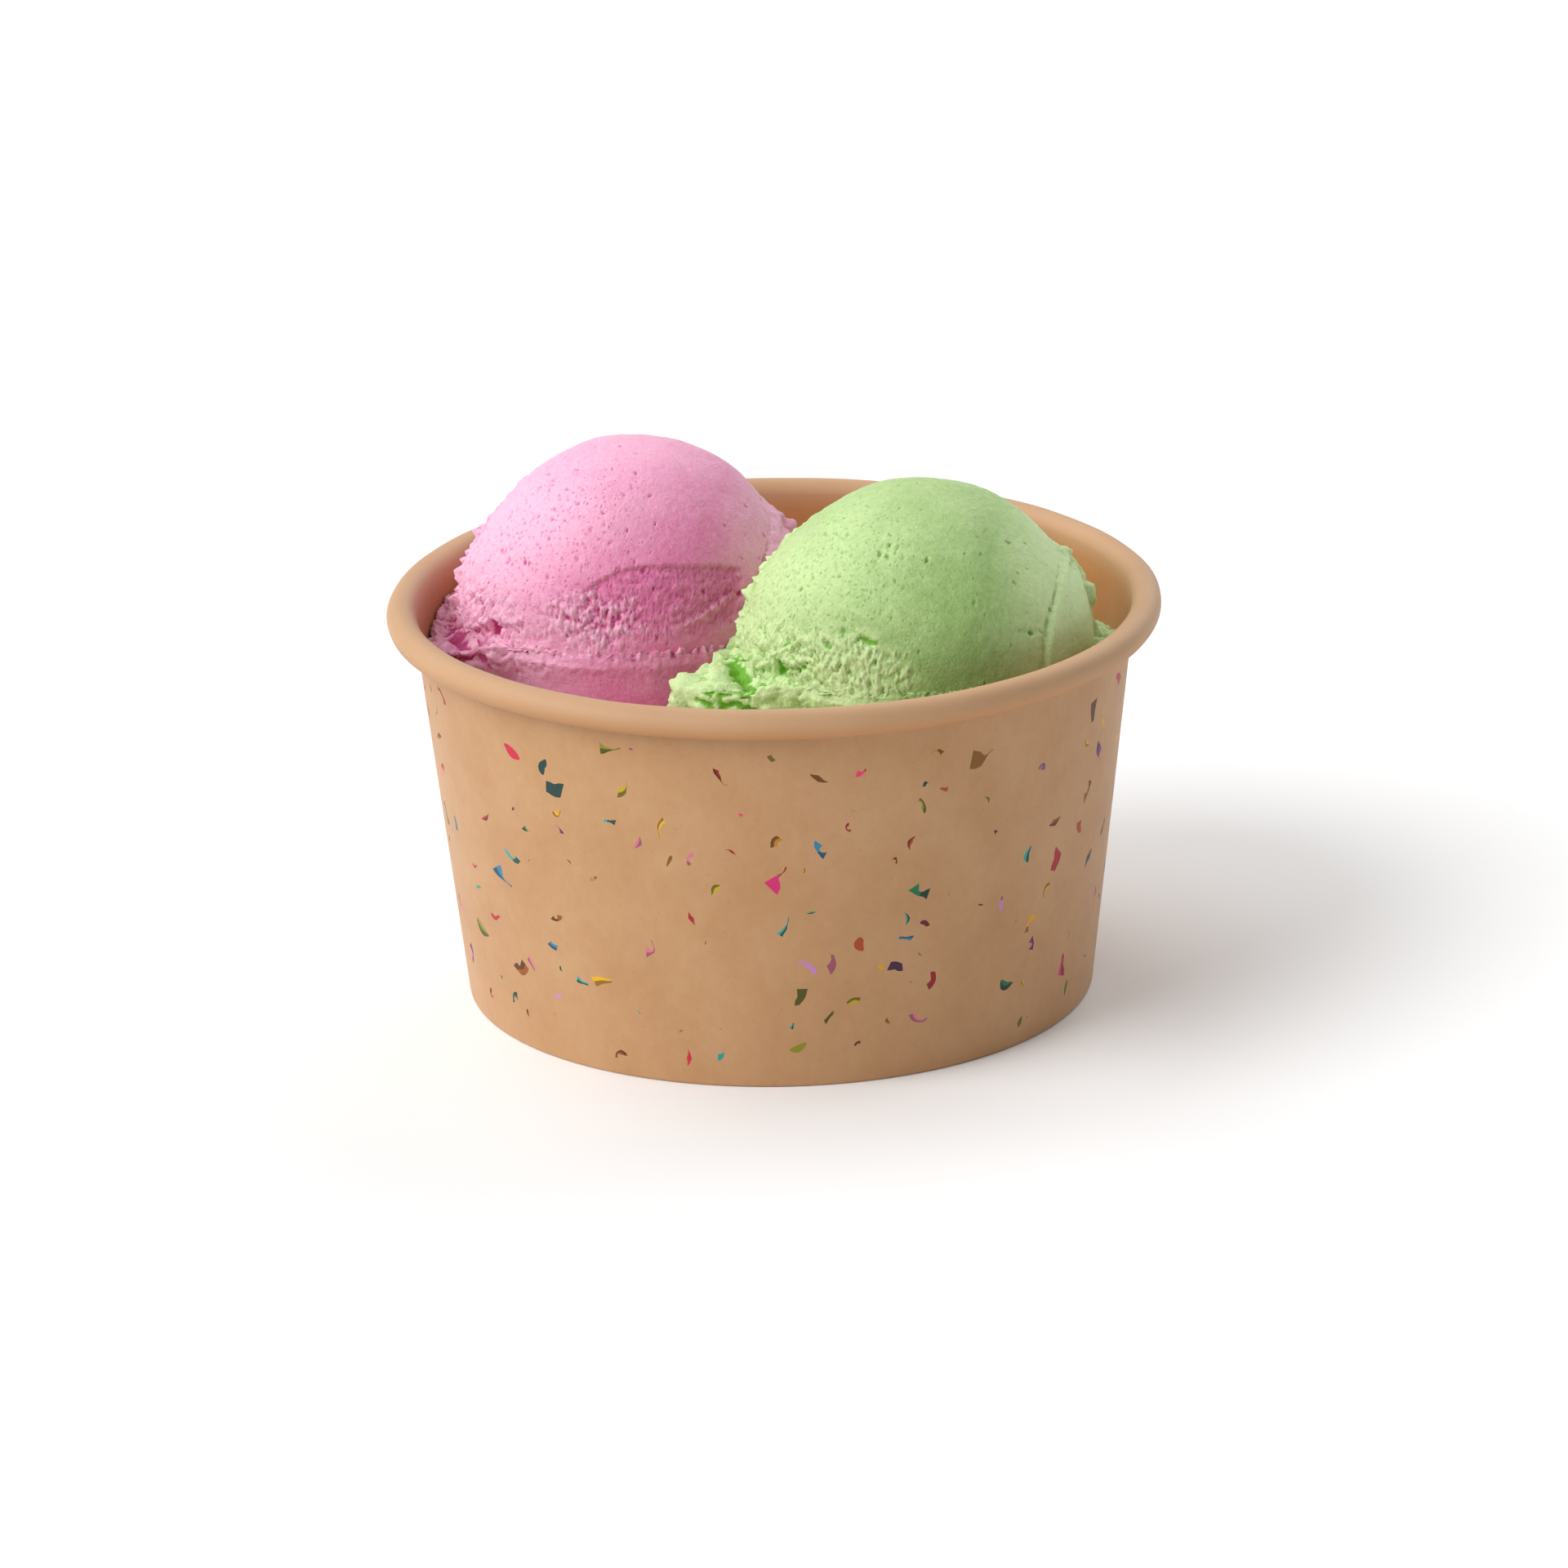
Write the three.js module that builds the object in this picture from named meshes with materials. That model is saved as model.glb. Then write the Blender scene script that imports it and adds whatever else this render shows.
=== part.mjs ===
// A gelato cup: a paper tub with a rolled rim, and two scoops packed into it.
// Millimetres, +Z up. The origin is on the tub's axis, on the surface it stands on.
// The scoops' smooth side and the tub's front face -Y.
import * as THREE from "three";
import { ParametricGeometry } from "three/addons/geometries/ParametricGeometry.js";

// ---- The paper tub ----
const RIM_RADIUS = 57.5; // outside of the rolled rim
const CUP_HEIGHT = 61; // surface to the top of the roll
const FOOT_RADIUS = 46.8; // outside of the wall at the surface
const ROLL_RADIUS = 2.2; // outside of the roll's round section
const PAPER = 0.5; // thickness of the coated board
const GAP = 0.3; // clearance between neighbouring pieces
const FLOOR_HEIGHT = 7.5; // top of the inset base disc
const FLAP_HEIGHT = 6.3; // how far the wall's foot folds up inside the base's skirt
const SKIRT_FOOT = 0.8; // lower edge of the base's skirt
const FOLD_RADIUS = 0.45; // rounding where the paper turns at the foot
const ROLL_END = -120; // degrees round the roll where its free edge stops
const ROLL_STEPS = 10;
const CUP_SEGMENTS = 64;

const ROLL_HEIGHT = CUP_HEIGHT - ROLL_RADIUS;
const ROLL_CENTRE = RIM_RADIUS - ROLL_RADIUS;
const WALL_TOP_RADIUS = ROLL_CENTRE - ROLL_RADIUS + PAPER;
const FOLD_CHANNEL = GAP + PAPER + GAP; // room for the base's skirt inside the fold

// ---- The gelato ----
const SCOOP_RADIUS = 25;
const BED_HEIGHT = 44; // level of the packed gelato under and round the scoops
const BED_SWELL = 0.7; // how far the bed's surface rises and dips
const SEAM_SWAY = 2.2; // how far the face between the flavours bends each way
const SEAM_WAVELENGTH = 110;
const LEDGE_DEPTH = 0.8; // the line that the scoop's edge leaves round the equator
const FLANGE_DROP = 0.36; // fall of the squeezed-out flange for each mm outwards
const FLANGE_THICKNESS = 2.4;
const FLANGE_ROOT_DEPTH = 6.5; // where the flange's underside meets the ball
const SEAM_SEGMENTS = 20; // round the part of the gelato that faces the seam
const WALL_SEGMENTS = 40; // and round the part that faces the wall

const PINK = {
  name: "pink_gelato",
  colour: 0xe6a3c6,
  centre: new THREE.Vector3(-21.8, 12.0, 55.5),
  side: -1,
  shelfDepth: 1.5,
  tornDepth: 0.3,
};
const GREEN = {
  name: "green_gelato",
  colour: 0xa9cf88,
  centre: new THREE.Vector3(20.4, -12.1, 56.5),
  side: 1,
  shelfDepth: 0,
  tornDepth: 0.8,
};

const radians = THREE.MathUtils.degToRad;

// Points of an arc round (r, z), from one angle to another in degrees, both ends included.
function arc(r, z, radius, from, to, steps) {
  return Array.from({ length: steps + 1 }, (_, i) => {
    const angle = radians(from + ((to - from) * i) / steps);
    return new THREE.Vector2(r + radius * Math.cos(angle), z + radius * Math.sin(angle));
  });
}

// Outside radius of the tapered wall at a height.
function wallRadius(z) {
  return FOOT_RADIUS + ((WALL_TOP_RADIUS - FOOT_RADIUS) * z) / ROLL_HEIGHT;
}

// A closed or axis-to-axis profile of (radius, height) points, turned about +Z.
function lathe(profile) {
  return new THREE.LatheGeometry(profile, CUP_SEGMENTS).rotateX(Math.PI / 2);
}

function pieceOf(name, geometry, color, roughness) {
  const material = new THREE.MeshStandardMaterial({ color, roughness, metalness: 0 });
  const mesh = new THREE.Mesh(geometry, material);
  mesh.name = name;
  return mesh;
}

// The wall is one sheet: curled outwards and down at the rim, and folded in and up
// at the foot, where it grips the base's skirt.
function cupWall() {
  const flapOuter = (z) => wallRadius(z) - PAPER - FOLD_CHANNEL;
  const flapInner = (z) => flapOuter(z) - PAPER;
  const footOutside = arc(
    wallRadius(FOLD_RADIUS) - FOLD_RADIUS, FOLD_RADIUS, FOLD_RADIUS, -90, 0, 2,
  );
  const footInside = arc(
    flapInner(FOLD_RADIUS) + FOLD_RADIUS, FOLD_RADIUS, FOLD_RADIUS, 180, 270, 2,
  );
  const profile = [
    ...footOutside,
    ...arc(ROLL_CENTRE, ROLL_HEIGHT, ROLL_RADIUS - PAPER, 180, ROLL_END, ROLL_STEPS),
    ...arc(ROLL_CENTRE, ROLL_HEIGHT, ROLL_RADIUS, ROLL_END, 180, ROLL_STEPS),
    new THREE.Vector2(wallRadius(PAPER) - PAPER, PAPER),
    new THREE.Vector2(flapOuter(PAPER), PAPER),
    new THREE.Vector2(flapOuter(FLAP_HEIGHT), FLAP_HEIGHT),
    new THREE.Vector2(flapInner(FLAP_HEIGHT), FLAP_HEIGHT),
    ...footInside,
  ];
  profile.push(profile[0].clone());
  return pieceOf("cup_wall", lathe(profile), 0xd9b184, 0.8);
}

// The base is a disc set up inside the wall, with its edge turned down as a skirt.
function cupBase() {
  const skirtOuter = (z) => wallRadius(z) - PAPER - GAP;
  const underside = FLOOR_HEIGHT - PAPER;
  const profile = [
    new THREE.Vector2(0, underside),
    new THREE.Vector2(skirtOuter(underside) - PAPER, underside),
    new THREE.Vector2(skirtOuter(SKIRT_FOOT) - PAPER, SKIRT_FOOT),
    new THREE.Vector2(skirtOuter(SKIRT_FOOT), SKIRT_FOOT),
    new THREE.Vector2(skirtOuter(FLOOR_HEIGHT), FLOOR_HEIGHT),
    new THREE.Vector2(0, FLOOR_HEIGHT),
  ];
  return pieceOf("cup_base", lathe(profile), 0xd2a878, 0.8);
}

// ---- The face between the flavours: halfway between the scoops, bent like a shallow S ----
const seamMiddle = PINK.centre.clone().add(GREEN.centre).multiplyScalar(0.5);
const seamNormal = GREEN.centre.clone().sub(PINK.centre).setZ(0).normalize();

// Distance of (x, y) from the seam, positive on the green side.
function pastSeam(x, y) {
  const across = (x - seamMiddle.x) * seamNormal.x + (y - seamMiddle.y) * seamNormal.y;
  const along = (y - seamMiddle.y) * seamNormal.x - (x - seamMiddle.x) * seamNormal.y;
  return across - SEAM_SWAY * Math.sin((2 * Math.PI * along) / SEAM_WAVELENGTH);
}

function hasRoom(scoop, x, y, z) {
  const insideCup = z > CUP_HEIGHT || Math.hypot(x, y) < wallRadius(z) - PAPER - GAP;
  return insideCup && scoop.side * pastSeam(x, y) > GAP / 2;
}

// How far a scoop's gelato can reach outwards from its upright axis, along an azimuth,
// before the tub's wall or the other flavour stops it.
function reach(scoop, azimuth, z) {
  const dx = Math.sin(azimuth);
  const dy = -Math.cos(azimuth);
  let near = 0;
  let far = 2 * RIM_RADIUS;
  for (let step = 0; step < 30; step++) {
    const middle = (near + far) / 2;
    const x = scoop.centre.x + middle * dx;
    const y = scoop.centre.y + middle * dy;
    if (hasRoom(scoop, x, y, z)) near = middle;
    else far = middle;
  }
  return near;
}

// 1 at the middle of a patch, falling smoothly to 0 at half a width from it.
// Angles are in degrees: azimuth from the front, positive to the right.
function bump(angle, middle, half) {
  const turn = ((angle - middle + 540) % 360) - 180;
  const t = Math.min(Math.abs(turn) / half, 1);
  return (1 + Math.cos(Math.PI * t)) / 2;
}

// The same, but flat-topped: full over most of the patch, with a short slope at its edge.
function plateau(angle, middle, half) {
  return THREE.MathUtils.smoothstep(bump(angle, middle, half), 0.02, 0.3);
}

// Radius of the scooped ball in a direction, with the marks of the scoop and the spatula.
function ballRadius(scoop, azimuth, latitude) {
  const slow = Math.sin(radians(3 * azimuth + 40)) * Math.cos(radians(2 * latitude));
  const quick = Math.sin(radians(7 * azimuth)) * Math.sin(radians(5 * latitude + 20));
  const lumps = 0.25 * slow + 0.15 * quick;
  const flattened = 1.0 * bump(azimuth, -65, 60) * bump(latitude, 45, 40);
  const shelf = scoop.shelfDepth * plateau(azimuth, 14, 42) * plateau(latitude, 14, 20);
  const torn = scoop.tornDepth * bump(azimuth, -25, 45) * bump(latitude, 12, 25);
  const lip = 1.4 * plateau(azimuth, 98, 36) * bump(latitude, 8, 36);
  const fade = Math.cos(radians(latitude)) ** 2;
  return SCOOP_RADIUS + fade * (lumps - flattened - shelf - torn + lip);
}

// Width of the flange that the scoop squeezed out: a long tongue on the left,
// a curl on the right, ragged at the back and only a ledge in front.
function flangeWidth(azimuth) {
  const tongue = 11.5 * bump(azimuth, -76, 50);
  const curl = 3.4 * bump(azimuth, 94, 28);
  const back = 3.2 * bump(azimuth, 175, 60);
  const ragged = 0.4 * Math.sin(radians(17 * azimuth)) + 0.3 * Math.sin(radians(29 * azimuth));
  return LEDGE_DEPTH + tongue + curl + back + ragged;
}

function bedHeight(x, y) {
  const wave = Math.sin(x / 9 + 1) * Math.cos(y / 11) + 0.5 * Math.sin((x + y) / 5);
  return BED_HEIGHT + BED_SWELL * wave;
}

// The section of one flavour along an azimuth, as (distance from the ball's axis, height):
// across the tub's floor, up its wall, in over the bed, round the flange and up the ball.
const UPPER_LATITUDES = [3, 8, 14, 20, 27, 34, 42, 50, 58, 66, 74, 82];
const FLOOR_ROUNDING = 1;
const BED_ROUNDING = 1.2;
const BALL_FOOT_LATITUDE = -25;

function section(scoop, azimuth) {
  const degrees = THREE.MathUtils.radToDeg(azimuth);
  const floor = FLOOR_HEIGHT + GAP;
  const clipped = (rho, z) => [Math.min(rho, reach(scoop, azimuth, z)), z];
  const onBall = (latitude) => {
    const radius = ballRadius(scoop, degrees, latitude);
    const rho = radius * Math.cos(radians(latitude));
    return clipped(rho, scoop.centre.z + radius * Math.sin(radians(latitude)));
  };
  const bedEdge = reach(scoop, azimuth, BED_HEIGHT);
  const foot = onBall(BALL_FOOT_LATITUDE);
  const bedAt = (rho) => {
    const x = scoop.centre.x + rho * Math.sin(azimuth);
    const y = scoop.centre.y - rho * Math.cos(azimuth);
    return bedHeight(x, y);
  };
  const bedOuter = Math.max(bedEdge - BED_ROUNDING, foot[0] + 0.3);
  const bedMiddle = (bedOuter + foot[0]) / 2;
  const width = flangeWidth(degrees);
  const rootRadius = ballRadius(scoop, degrees, 0);
  const tipRadius = rootRadius + width;
  const tipHeight = scoop.centre.z - FLANGE_DROP * width;
  return [
    [0, floor],
    [reach(scoop, azimuth, floor) - FLOOR_ROUNDING, floor],
    clipped(Infinity, floor + FLOOR_ROUNDING),
    clipped(Infinity, bedAt(bedEdge) - BED_ROUNDING),
    [bedOuter, bedAt(bedOuter)],
    [bedMiddle, bedAt(bedMiddle)],
    foot,
    clipped(rootRadius - 0.8, scoop.centre.z - FLANGE_ROOT_DEPTH),
    clipped(tipRadius - 0.6, tipHeight - FLANGE_THICKNESS),
    clipped(tipRadius, tipHeight - 0.4),
    clipped(rootRadius, scoop.centre.z),
    ...UPPER_LATITUDES.map(onBall),
    [0, scoop.centre.z + ballRadius(scoop, 0, 90)],
  ];
}

// Azimuth, within half a turn from the seam on one side, of the corner where the seam
// meets the wall: the place where the gelato reaches furthest from the ball's axis.
function cornerAzimuth(scoop, towardsSeam, turnSign) {
  const steps = 720;
  const tries = Array.from({ length: steps }, (_, i) =>
    towardsSeam + (turnSign * Math.PI * i) / steps,
  );
  const reaches = tries.map((azimuth) => reach(scoop, azimuth, BED_HEIGHT));
  return tries[reaches.indexOf(Math.max(...reaches))];
}

// Azimuths of the sections, with one at each corner so that both corners stay sharp.
function sectionAzimuths(scoop) {
  const towardsSeam = Math.atan2(-scoop.side * seamNormal.x, scoop.side * seamNormal.y);
  const start = cornerAzimuth(scoop, towardsSeam, -1);
  const corner = cornerAzimuth(scoop, towardsSeam, 1);
  const end = start + 2 * Math.PI;
  const spread = (from, to, count) =>
    Array.from({ length: count }, (_, i) => from + ((to - from) * i) / count);
  return [...spread(start, corner, SEAM_SEGMENTS), ...spread(corner, end, WALL_SEGMENTS)];
}

// One flavour's gelato is one solid: its section, swept round the ball's upright axis.
function gelato(scoop) {
  const azimuths = sectionAzimuths(scoop);
  const sections = azimuths.map((azimuth) => section(scoop, azimuth));
  const turns = azimuths.length;
  const rows = sections[0].length - 1;
  const surface = (u, v, target) => {
    const turn = Math.round(u * turns) % turns;
    const [rho, z] = sections[turn][Math.round(v * rows)];
    const x = scoop.centre.x + rho * Math.sin(azimuths[turn]);
    target.set(x, scoop.centre.y - rho * Math.cos(azimuths[turn]), z);
  };
  const geometry = new ParametricGeometry(surface, turns, rows);
  return pieceOf(scoop.name, geometry, scoop.colour, 0.45);
}

const cup = new THREE.Group();
cup.name = "gelato_cup";
cup.add(cupWall(), cupBase(), gelato(PINK), gelato(GREEN));

export default cup;
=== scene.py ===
# %% [markdown]
# # A paper tub with two scoops of gelato
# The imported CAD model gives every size. This lesson gives it its looks: kraft board with a
# printed confetti pattern, and two scoops with the marks that a gelato spade leaves.

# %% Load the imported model
import bpy
import numpy as np
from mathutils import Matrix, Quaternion, Vector
from mathutils.geometry import delaunay_2d_cdt


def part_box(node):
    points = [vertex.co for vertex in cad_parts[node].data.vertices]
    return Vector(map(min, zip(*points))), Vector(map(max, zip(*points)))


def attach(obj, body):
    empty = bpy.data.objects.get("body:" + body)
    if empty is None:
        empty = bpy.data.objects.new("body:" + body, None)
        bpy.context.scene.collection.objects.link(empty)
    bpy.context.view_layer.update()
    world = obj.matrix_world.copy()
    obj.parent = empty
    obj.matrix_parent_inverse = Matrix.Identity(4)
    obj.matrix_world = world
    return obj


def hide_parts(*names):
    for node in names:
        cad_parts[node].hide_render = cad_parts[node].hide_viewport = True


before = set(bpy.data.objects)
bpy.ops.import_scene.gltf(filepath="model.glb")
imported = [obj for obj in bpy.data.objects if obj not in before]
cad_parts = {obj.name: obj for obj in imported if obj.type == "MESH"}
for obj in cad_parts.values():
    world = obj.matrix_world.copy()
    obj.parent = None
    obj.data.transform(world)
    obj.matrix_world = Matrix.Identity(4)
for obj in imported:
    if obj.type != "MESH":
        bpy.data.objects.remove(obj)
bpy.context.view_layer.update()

# %% [markdown]
# ## Driving sizes
# Everything is worked out in millimetres and turned to metres when a mesh is made. The tub's
# outline and the scoops' heights are read from the CAD nodes. The paper's thickness and the
# places of the scoops' axes are the ones that the part was designed with.

# %% Sizes of the tub and the scoops
MM = 0.001
wall_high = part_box("cup_wall")[1]
base_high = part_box("cup_base")[1]
rim_radius = wall_high.x / MM
cup_height = wall_high.z / MM
floor_height = base_high.z / MM
foot_radius = 46.8
roll_radius = 2.2
paper = 0.5
gap = 0.3
roll_height = cup_height - roll_radius
roll_centre = rim_radius - roll_radius
wall_top_radius = roll_centre - roll_radius + paper
scoop_radius = 25.0


def scoop_of(node, x, y, **marks):
    """A scoop's node, centre and marks. Its axis is given; its height is the node's top less the radius.

    The marks: `side` of the seam, depth of the spade's scrape in mm (`shelf`), how torn it is (`torn`),
    how far its crown is raised in mm (`crown`), and how much paler its crown, its right flank, its foot
    in front and its foot on the left are painted, as painted light (`dry`)."""
    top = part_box(node)[1].z / MM
    return {"node": node, "centre": np.array([x, y, top - scoop_radius]), **marks}


PINK = scoop_of("pink_gelato", -21.8, 12.0, side=-1, shelf=0.5, torn=0.95, crown=0.3,
                dry=(0.8, 0.75, 0.2, 0.35))
GREEN = scoop_of("green_gelato", 20.4, -12.1, side=1, shelf=0.0, torn=0.9, crown=-0.75,
                 dry=(0.4, 0.95, 0.0, 0.7))
print("tub", round(rim_radius, 2), "x", round(cup_height, 2), "mm")
print("scoops at", PINK["centre"], GREEN["centre"])

# %% [markdown]
# ## Turning arrays into meshes
# A surface is a grid of points. Rows climb the outside and columns go round anticlockwise seen
# from above, so every quad made by the same rule faces outwards. A pole is one point with a fan.

# %% From arrays to a piece


def ring_faces(index):
    """Quads between neighbouring rows of a grid of point numbers whose columns close into a ring."""
    low, high = index[:-1], index[1:]
    quads = [low, np.roll(low, -1, axis=1), np.roll(high, -1, axis=1), high]
    return np.stack(quads, axis=-1).reshape(-1, 4)


def fan_faces(ring, pole, facing_up):
    """Triangles from a ring of point numbers to one pole."""
    onwards = np.roll(ring, -1)
    pair = (ring, onwards) if facing_up else (onwards, ring)
    return np.column_stack([*pair, np.full(len(ring), pole)])


def make_piece(name, points, faces, *, replaces=()):
    """A smooth-shaded mesh on the body "root", from points in millimetres and arrays of faces."""
    mesh = bpy.data.meshes.new(name)
    corners = np.concatenate([f.ravel() for f in faces]).astype(np.int32)
    sides = np.concatenate([np.full(len(f), f.shape[1]) for f in faces])
    starts = np.concatenate([[0], np.cumsum(sides)[:-1]]).astype(np.int32)
    mesh.vertices.add(len(points))
    mesh.vertices.foreach_set("co", (np.asarray(points) * MM).astype(np.float32).ravel())
    mesh.loops.add(len(corners))
    mesh.loops.foreach_set("vertex_index", corners)
    mesh.polygons.add(len(sides))
    mesh.polygons.foreach_set("loop_start", starts)
    mesh.update(calc_edges=True)
    mesh.validate()
    mesh.shade_smooth()
    piece = bpy.data.objects.new(name, mesh)
    bpy.context.scene.collection.objects.link(piece)
    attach(piece, "root")
    if replaces:
        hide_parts(*replaces)
    print(name, len(points), "points,", int((sides - 2).sum()), "triangles")
    return piece


def keep_values(piece, name, values):
    """Keeps one number for each point of a mesh, as an attribute that its material can read."""
    layer = piece.data.attributes.new(name, "FLOAT", "POINT")
    layer.data.foreach_set("value", np.asarray(values, dtype=np.float32))


def arc(r, z, radius, start, stop, steps):
    """Points of an arc round (r, z): r + radius cos, z + radius sin, from one angle to another in degrees."""
    angle = np.radians(np.linspace(start, stop, steps + 1))
    return np.column_stack([r + radius * np.cos(angle), z + radius * np.sin(angle)])


def line(start, stop, steps):
    """Points of a straight line with its first point left out."""
    return np.linspace(start, stop, steps + 1)[1:]


def smooth_step(x, low, high):
    """0 below low, 1 above high, and the smooth cubic 3t2 - 2t3 between them."""
    t = np.clip((x - low) / (high - low), 0, 1)
    return t * t * (3 - 2 * t)


def between(x, rise_from, rise_to, fall_from, fall_to):
    """0, then a smooth rise to 1, then a smooth fall back to 0."""
    return smooth_step(x, rise_from, rise_to) * (1 - smooth_step(x, fall_from, fall_to))


def bell(across, width):
    """1 on a line, falling on both sides as exp of minus the squared distance over the width."""
    return np.exp(-(across / width) ** 2)


def crest(across, width_above, width_below):
    """A bell with a width of its own on each side, so that one side can be sharp."""
    return np.where(across > 0, bell(across, width_above), bell(across, width_below))


def bump(angle, middle, half):
    """1 at the middle of a patch, falling as a cosine to 0 at half a width from it; angles in degrees."""
    turn = (angle - middle + 540) % 360 - 180
    return (1 + np.cos(np.pi * np.minimum(np.abs(turn) / half, 1))) / 2


def oval(azimuth, latitude, middle, half):
    """1 inside an oval patch round an (azimuth, latitude), falling to 0 at its half sizes, in degrees."""
    turn = (azimuth - middle[0] + 540) % 360 - 180
    return 1 - smooth_step(np.hypot(turn / half[0], (latitude - middle[1]) / half[1]), 0.55, 1.0)


def wall_radius(z):
    """Outside radius of the tapered wall at a height."""
    return foot_radius + (wall_top_radius - foot_radius) * z / roll_height


# %% [markdown]
# ## The printed confetti
# Real tubs are printed flat, before the blank is rolled. So each flake is drawn flat, in
# millimetres round the wall and up it, and only then bent with the board. The ink is a field of
# colour inside the board's own surface, not a sticker above it. A ribbon of confetti that twists
# shows a light face and a dark one, so most flakes have two tones.

# %% Shapes of the flakes
rng = np.random.default_rng(11)
INKS = [("cc2468", "8c0c28"), ("22908a", "0e3a34"), ("d59a08", "80520a"), ("2c7c9c", "184a62"),
        ("86840e", "4c4a06"), ("8e1418", "55090c"), ("b47a04", "6a3a00"), ("186e44", "0c3322"),
        ("8e4a04", "5a2c00"), ("a4401a", "641e08"), ("c080b8", "784a74"), ("86287e", "3f183a"),
        ("dc3a64", "a41c28"), ("cc6c86", "984c60"), ("dca80c", "8c6208"), ("b8a010", "6a5a08"),
        ("b01830", "640a16"), ("e2a60c", "94640a"), ("c41c3c", "7c0c1c"), ("2a9c94", "0f4a44")]
NARROWEST = 0.32
TAPERS = {
    "strip": lambda share: 1 + 0 * share,
    "leaf": lambda share: np.sin(np.pi * (0.06 + 0.88 * share)) ** 0.8,
    "gull": lambda share: 1.06 - np.abs(2 * share - 0.9) ** 0.8,
    "tail": lambda share: 1 - 0.88 * smooth_step(share, 0.35, 0.7),
}
# Each kind of flake: its least and most bend and twist in degrees, its least and most width, its taper.
KINDS = [
    ("ribbon", 10, 70, 0, 110, 0.46, 0.64, "strip"),
    ("hook", 100, 190, 30, 130, 0.36, 0.5, "strip"),
    ("leaf", 5, 50, 0, 60, 0.46, 0.66, "leaf"),
    ("gull", 50, 100, 0, 30, 0.3, 0.42, "gull"),
    ("comma", 30, 130, 40, 150, 0.46, 0.66, "tail"),
    ("chip", 0, 25, 0, 50, 0.5, 0.72, "strip"),
]


def streamer(kind, stations):
    """The triangles of one flake of length 1 with the tone of each: a strip of foil, bent and twisted.

    The middle line turns steadily through the bend. The half width shrinks with the cosine of the
    twist, and where the twist passes a quarter turn the other face, and so the other tone, shows."""
    _, bend_low, bend_high, twist_low, twist_high, thin, wide, taper = kind
    share = np.linspace(0, 1, stations)
    sway = np.radians(rng.uniform(-30, 30)) * np.sin(2 * np.pi * share)
    heading = np.radians(rng.uniform(bend_low, bend_high)) * (share - 0.5) + sway
    forwards = np.column_stack([np.cos(heading), np.sin(heading)])
    middle = np.cumsum(forwards, axis=0) / stations
    middle = middle - middle.mean(axis=0)
    turned = np.radians(rng.uniform(0, 60) + rng.uniform(twist_low, twist_high) * share)
    facing_us = np.maximum(np.abs(np.cos(turned)), NARROWEST)
    half = rng.uniform(thin, wide) / 2 * TAPERS[taper](share) * facing_us
    skew = rng.uniform(-0.5, 0.5) * half[:, None] * forwards
    sideways = np.column_stack([-forwards[:, 1], forwards[:, 0]]) * half[:, None]
    left, right = middle + sideways + skew, middle - sideways - skew
    tones = (np.cos(turned) < 0).astype(int)
    swap = int(rng.integers(2))
    parted = rng.random() < 0.5 and stations > 4
    bands = [(left, middle, 0), (middle, right, 1)] if parted else [(left, right, None)]
    parts = []
    for upper, lower, tone in bands:
        for k in range(stations - 1):
            shade = (tones[k] + swap) % 2 if tone is None else tone
            parts.append(([upper[k], upper[k + 1], lower[k]], shade))
            parts.append(([upper[k + 1], lower[k + 1], lower[k]], shade))
    return parts


# %% [markdown]
# Flakes are thrown at random and kept when they have room. Most are 1.8 to 4 mm long along their
# middle line, nine are longer, up to 6.4 mm and in the brightest inks, and the fine specks between
# them go down to a third of a millimetre. The wall is mapped flat, with its length taken round the
# middle of its height, and the strip by the lapped seam is left bare.

# %% Throw the flakes
flat_radius = wall_radius(cup_height / 2)
flat_length = 2 * np.pi * flat_radius
print_low, print_high = 1.2, 55.6
SEAM_SHARE = 0.075
seam_place = flat_length * SEAM_SHARE
SMALLEST_AREA = 0.001
BRIGHT_INKS, LARGE_FLAKE = 5, 4.5
BARE_BY_SEAM, BARE_BY_EDGE, BARE_BY_FLAKE = 14, 0.4, 0.15
# How many flakes are thrown, and their least and greatest length.
FLAKE_COUNTS = [(9, 4.6, 6.4), (95, 2.7, 4.0), (95, 1.8, 2.7), (60, 0.9, 1.7), (40, 0.35, 0.8)]


def near_seam(s):
    """How far round the wall, in flat millimetres, a place is from the lapped side seam."""
    return np.abs((s - seam_place + flat_length / 2) % flat_length - flat_length / 2)


def area_of(corners):
    """Half the sum of the cross products of an outline: positive where its corners run anticlockwise."""
    onwards = np.roll(corners, -1, axis=0)
    return (corners[:, 0] * onwards[:, 1] - corners[:, 1] * onwards[:, 0]).sum() / 2


def anticlockwise(corners):
    """The outline in the order that makes its area positive."""
    return corners if area_of(corners) > 0 else corners[::-1]


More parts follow.
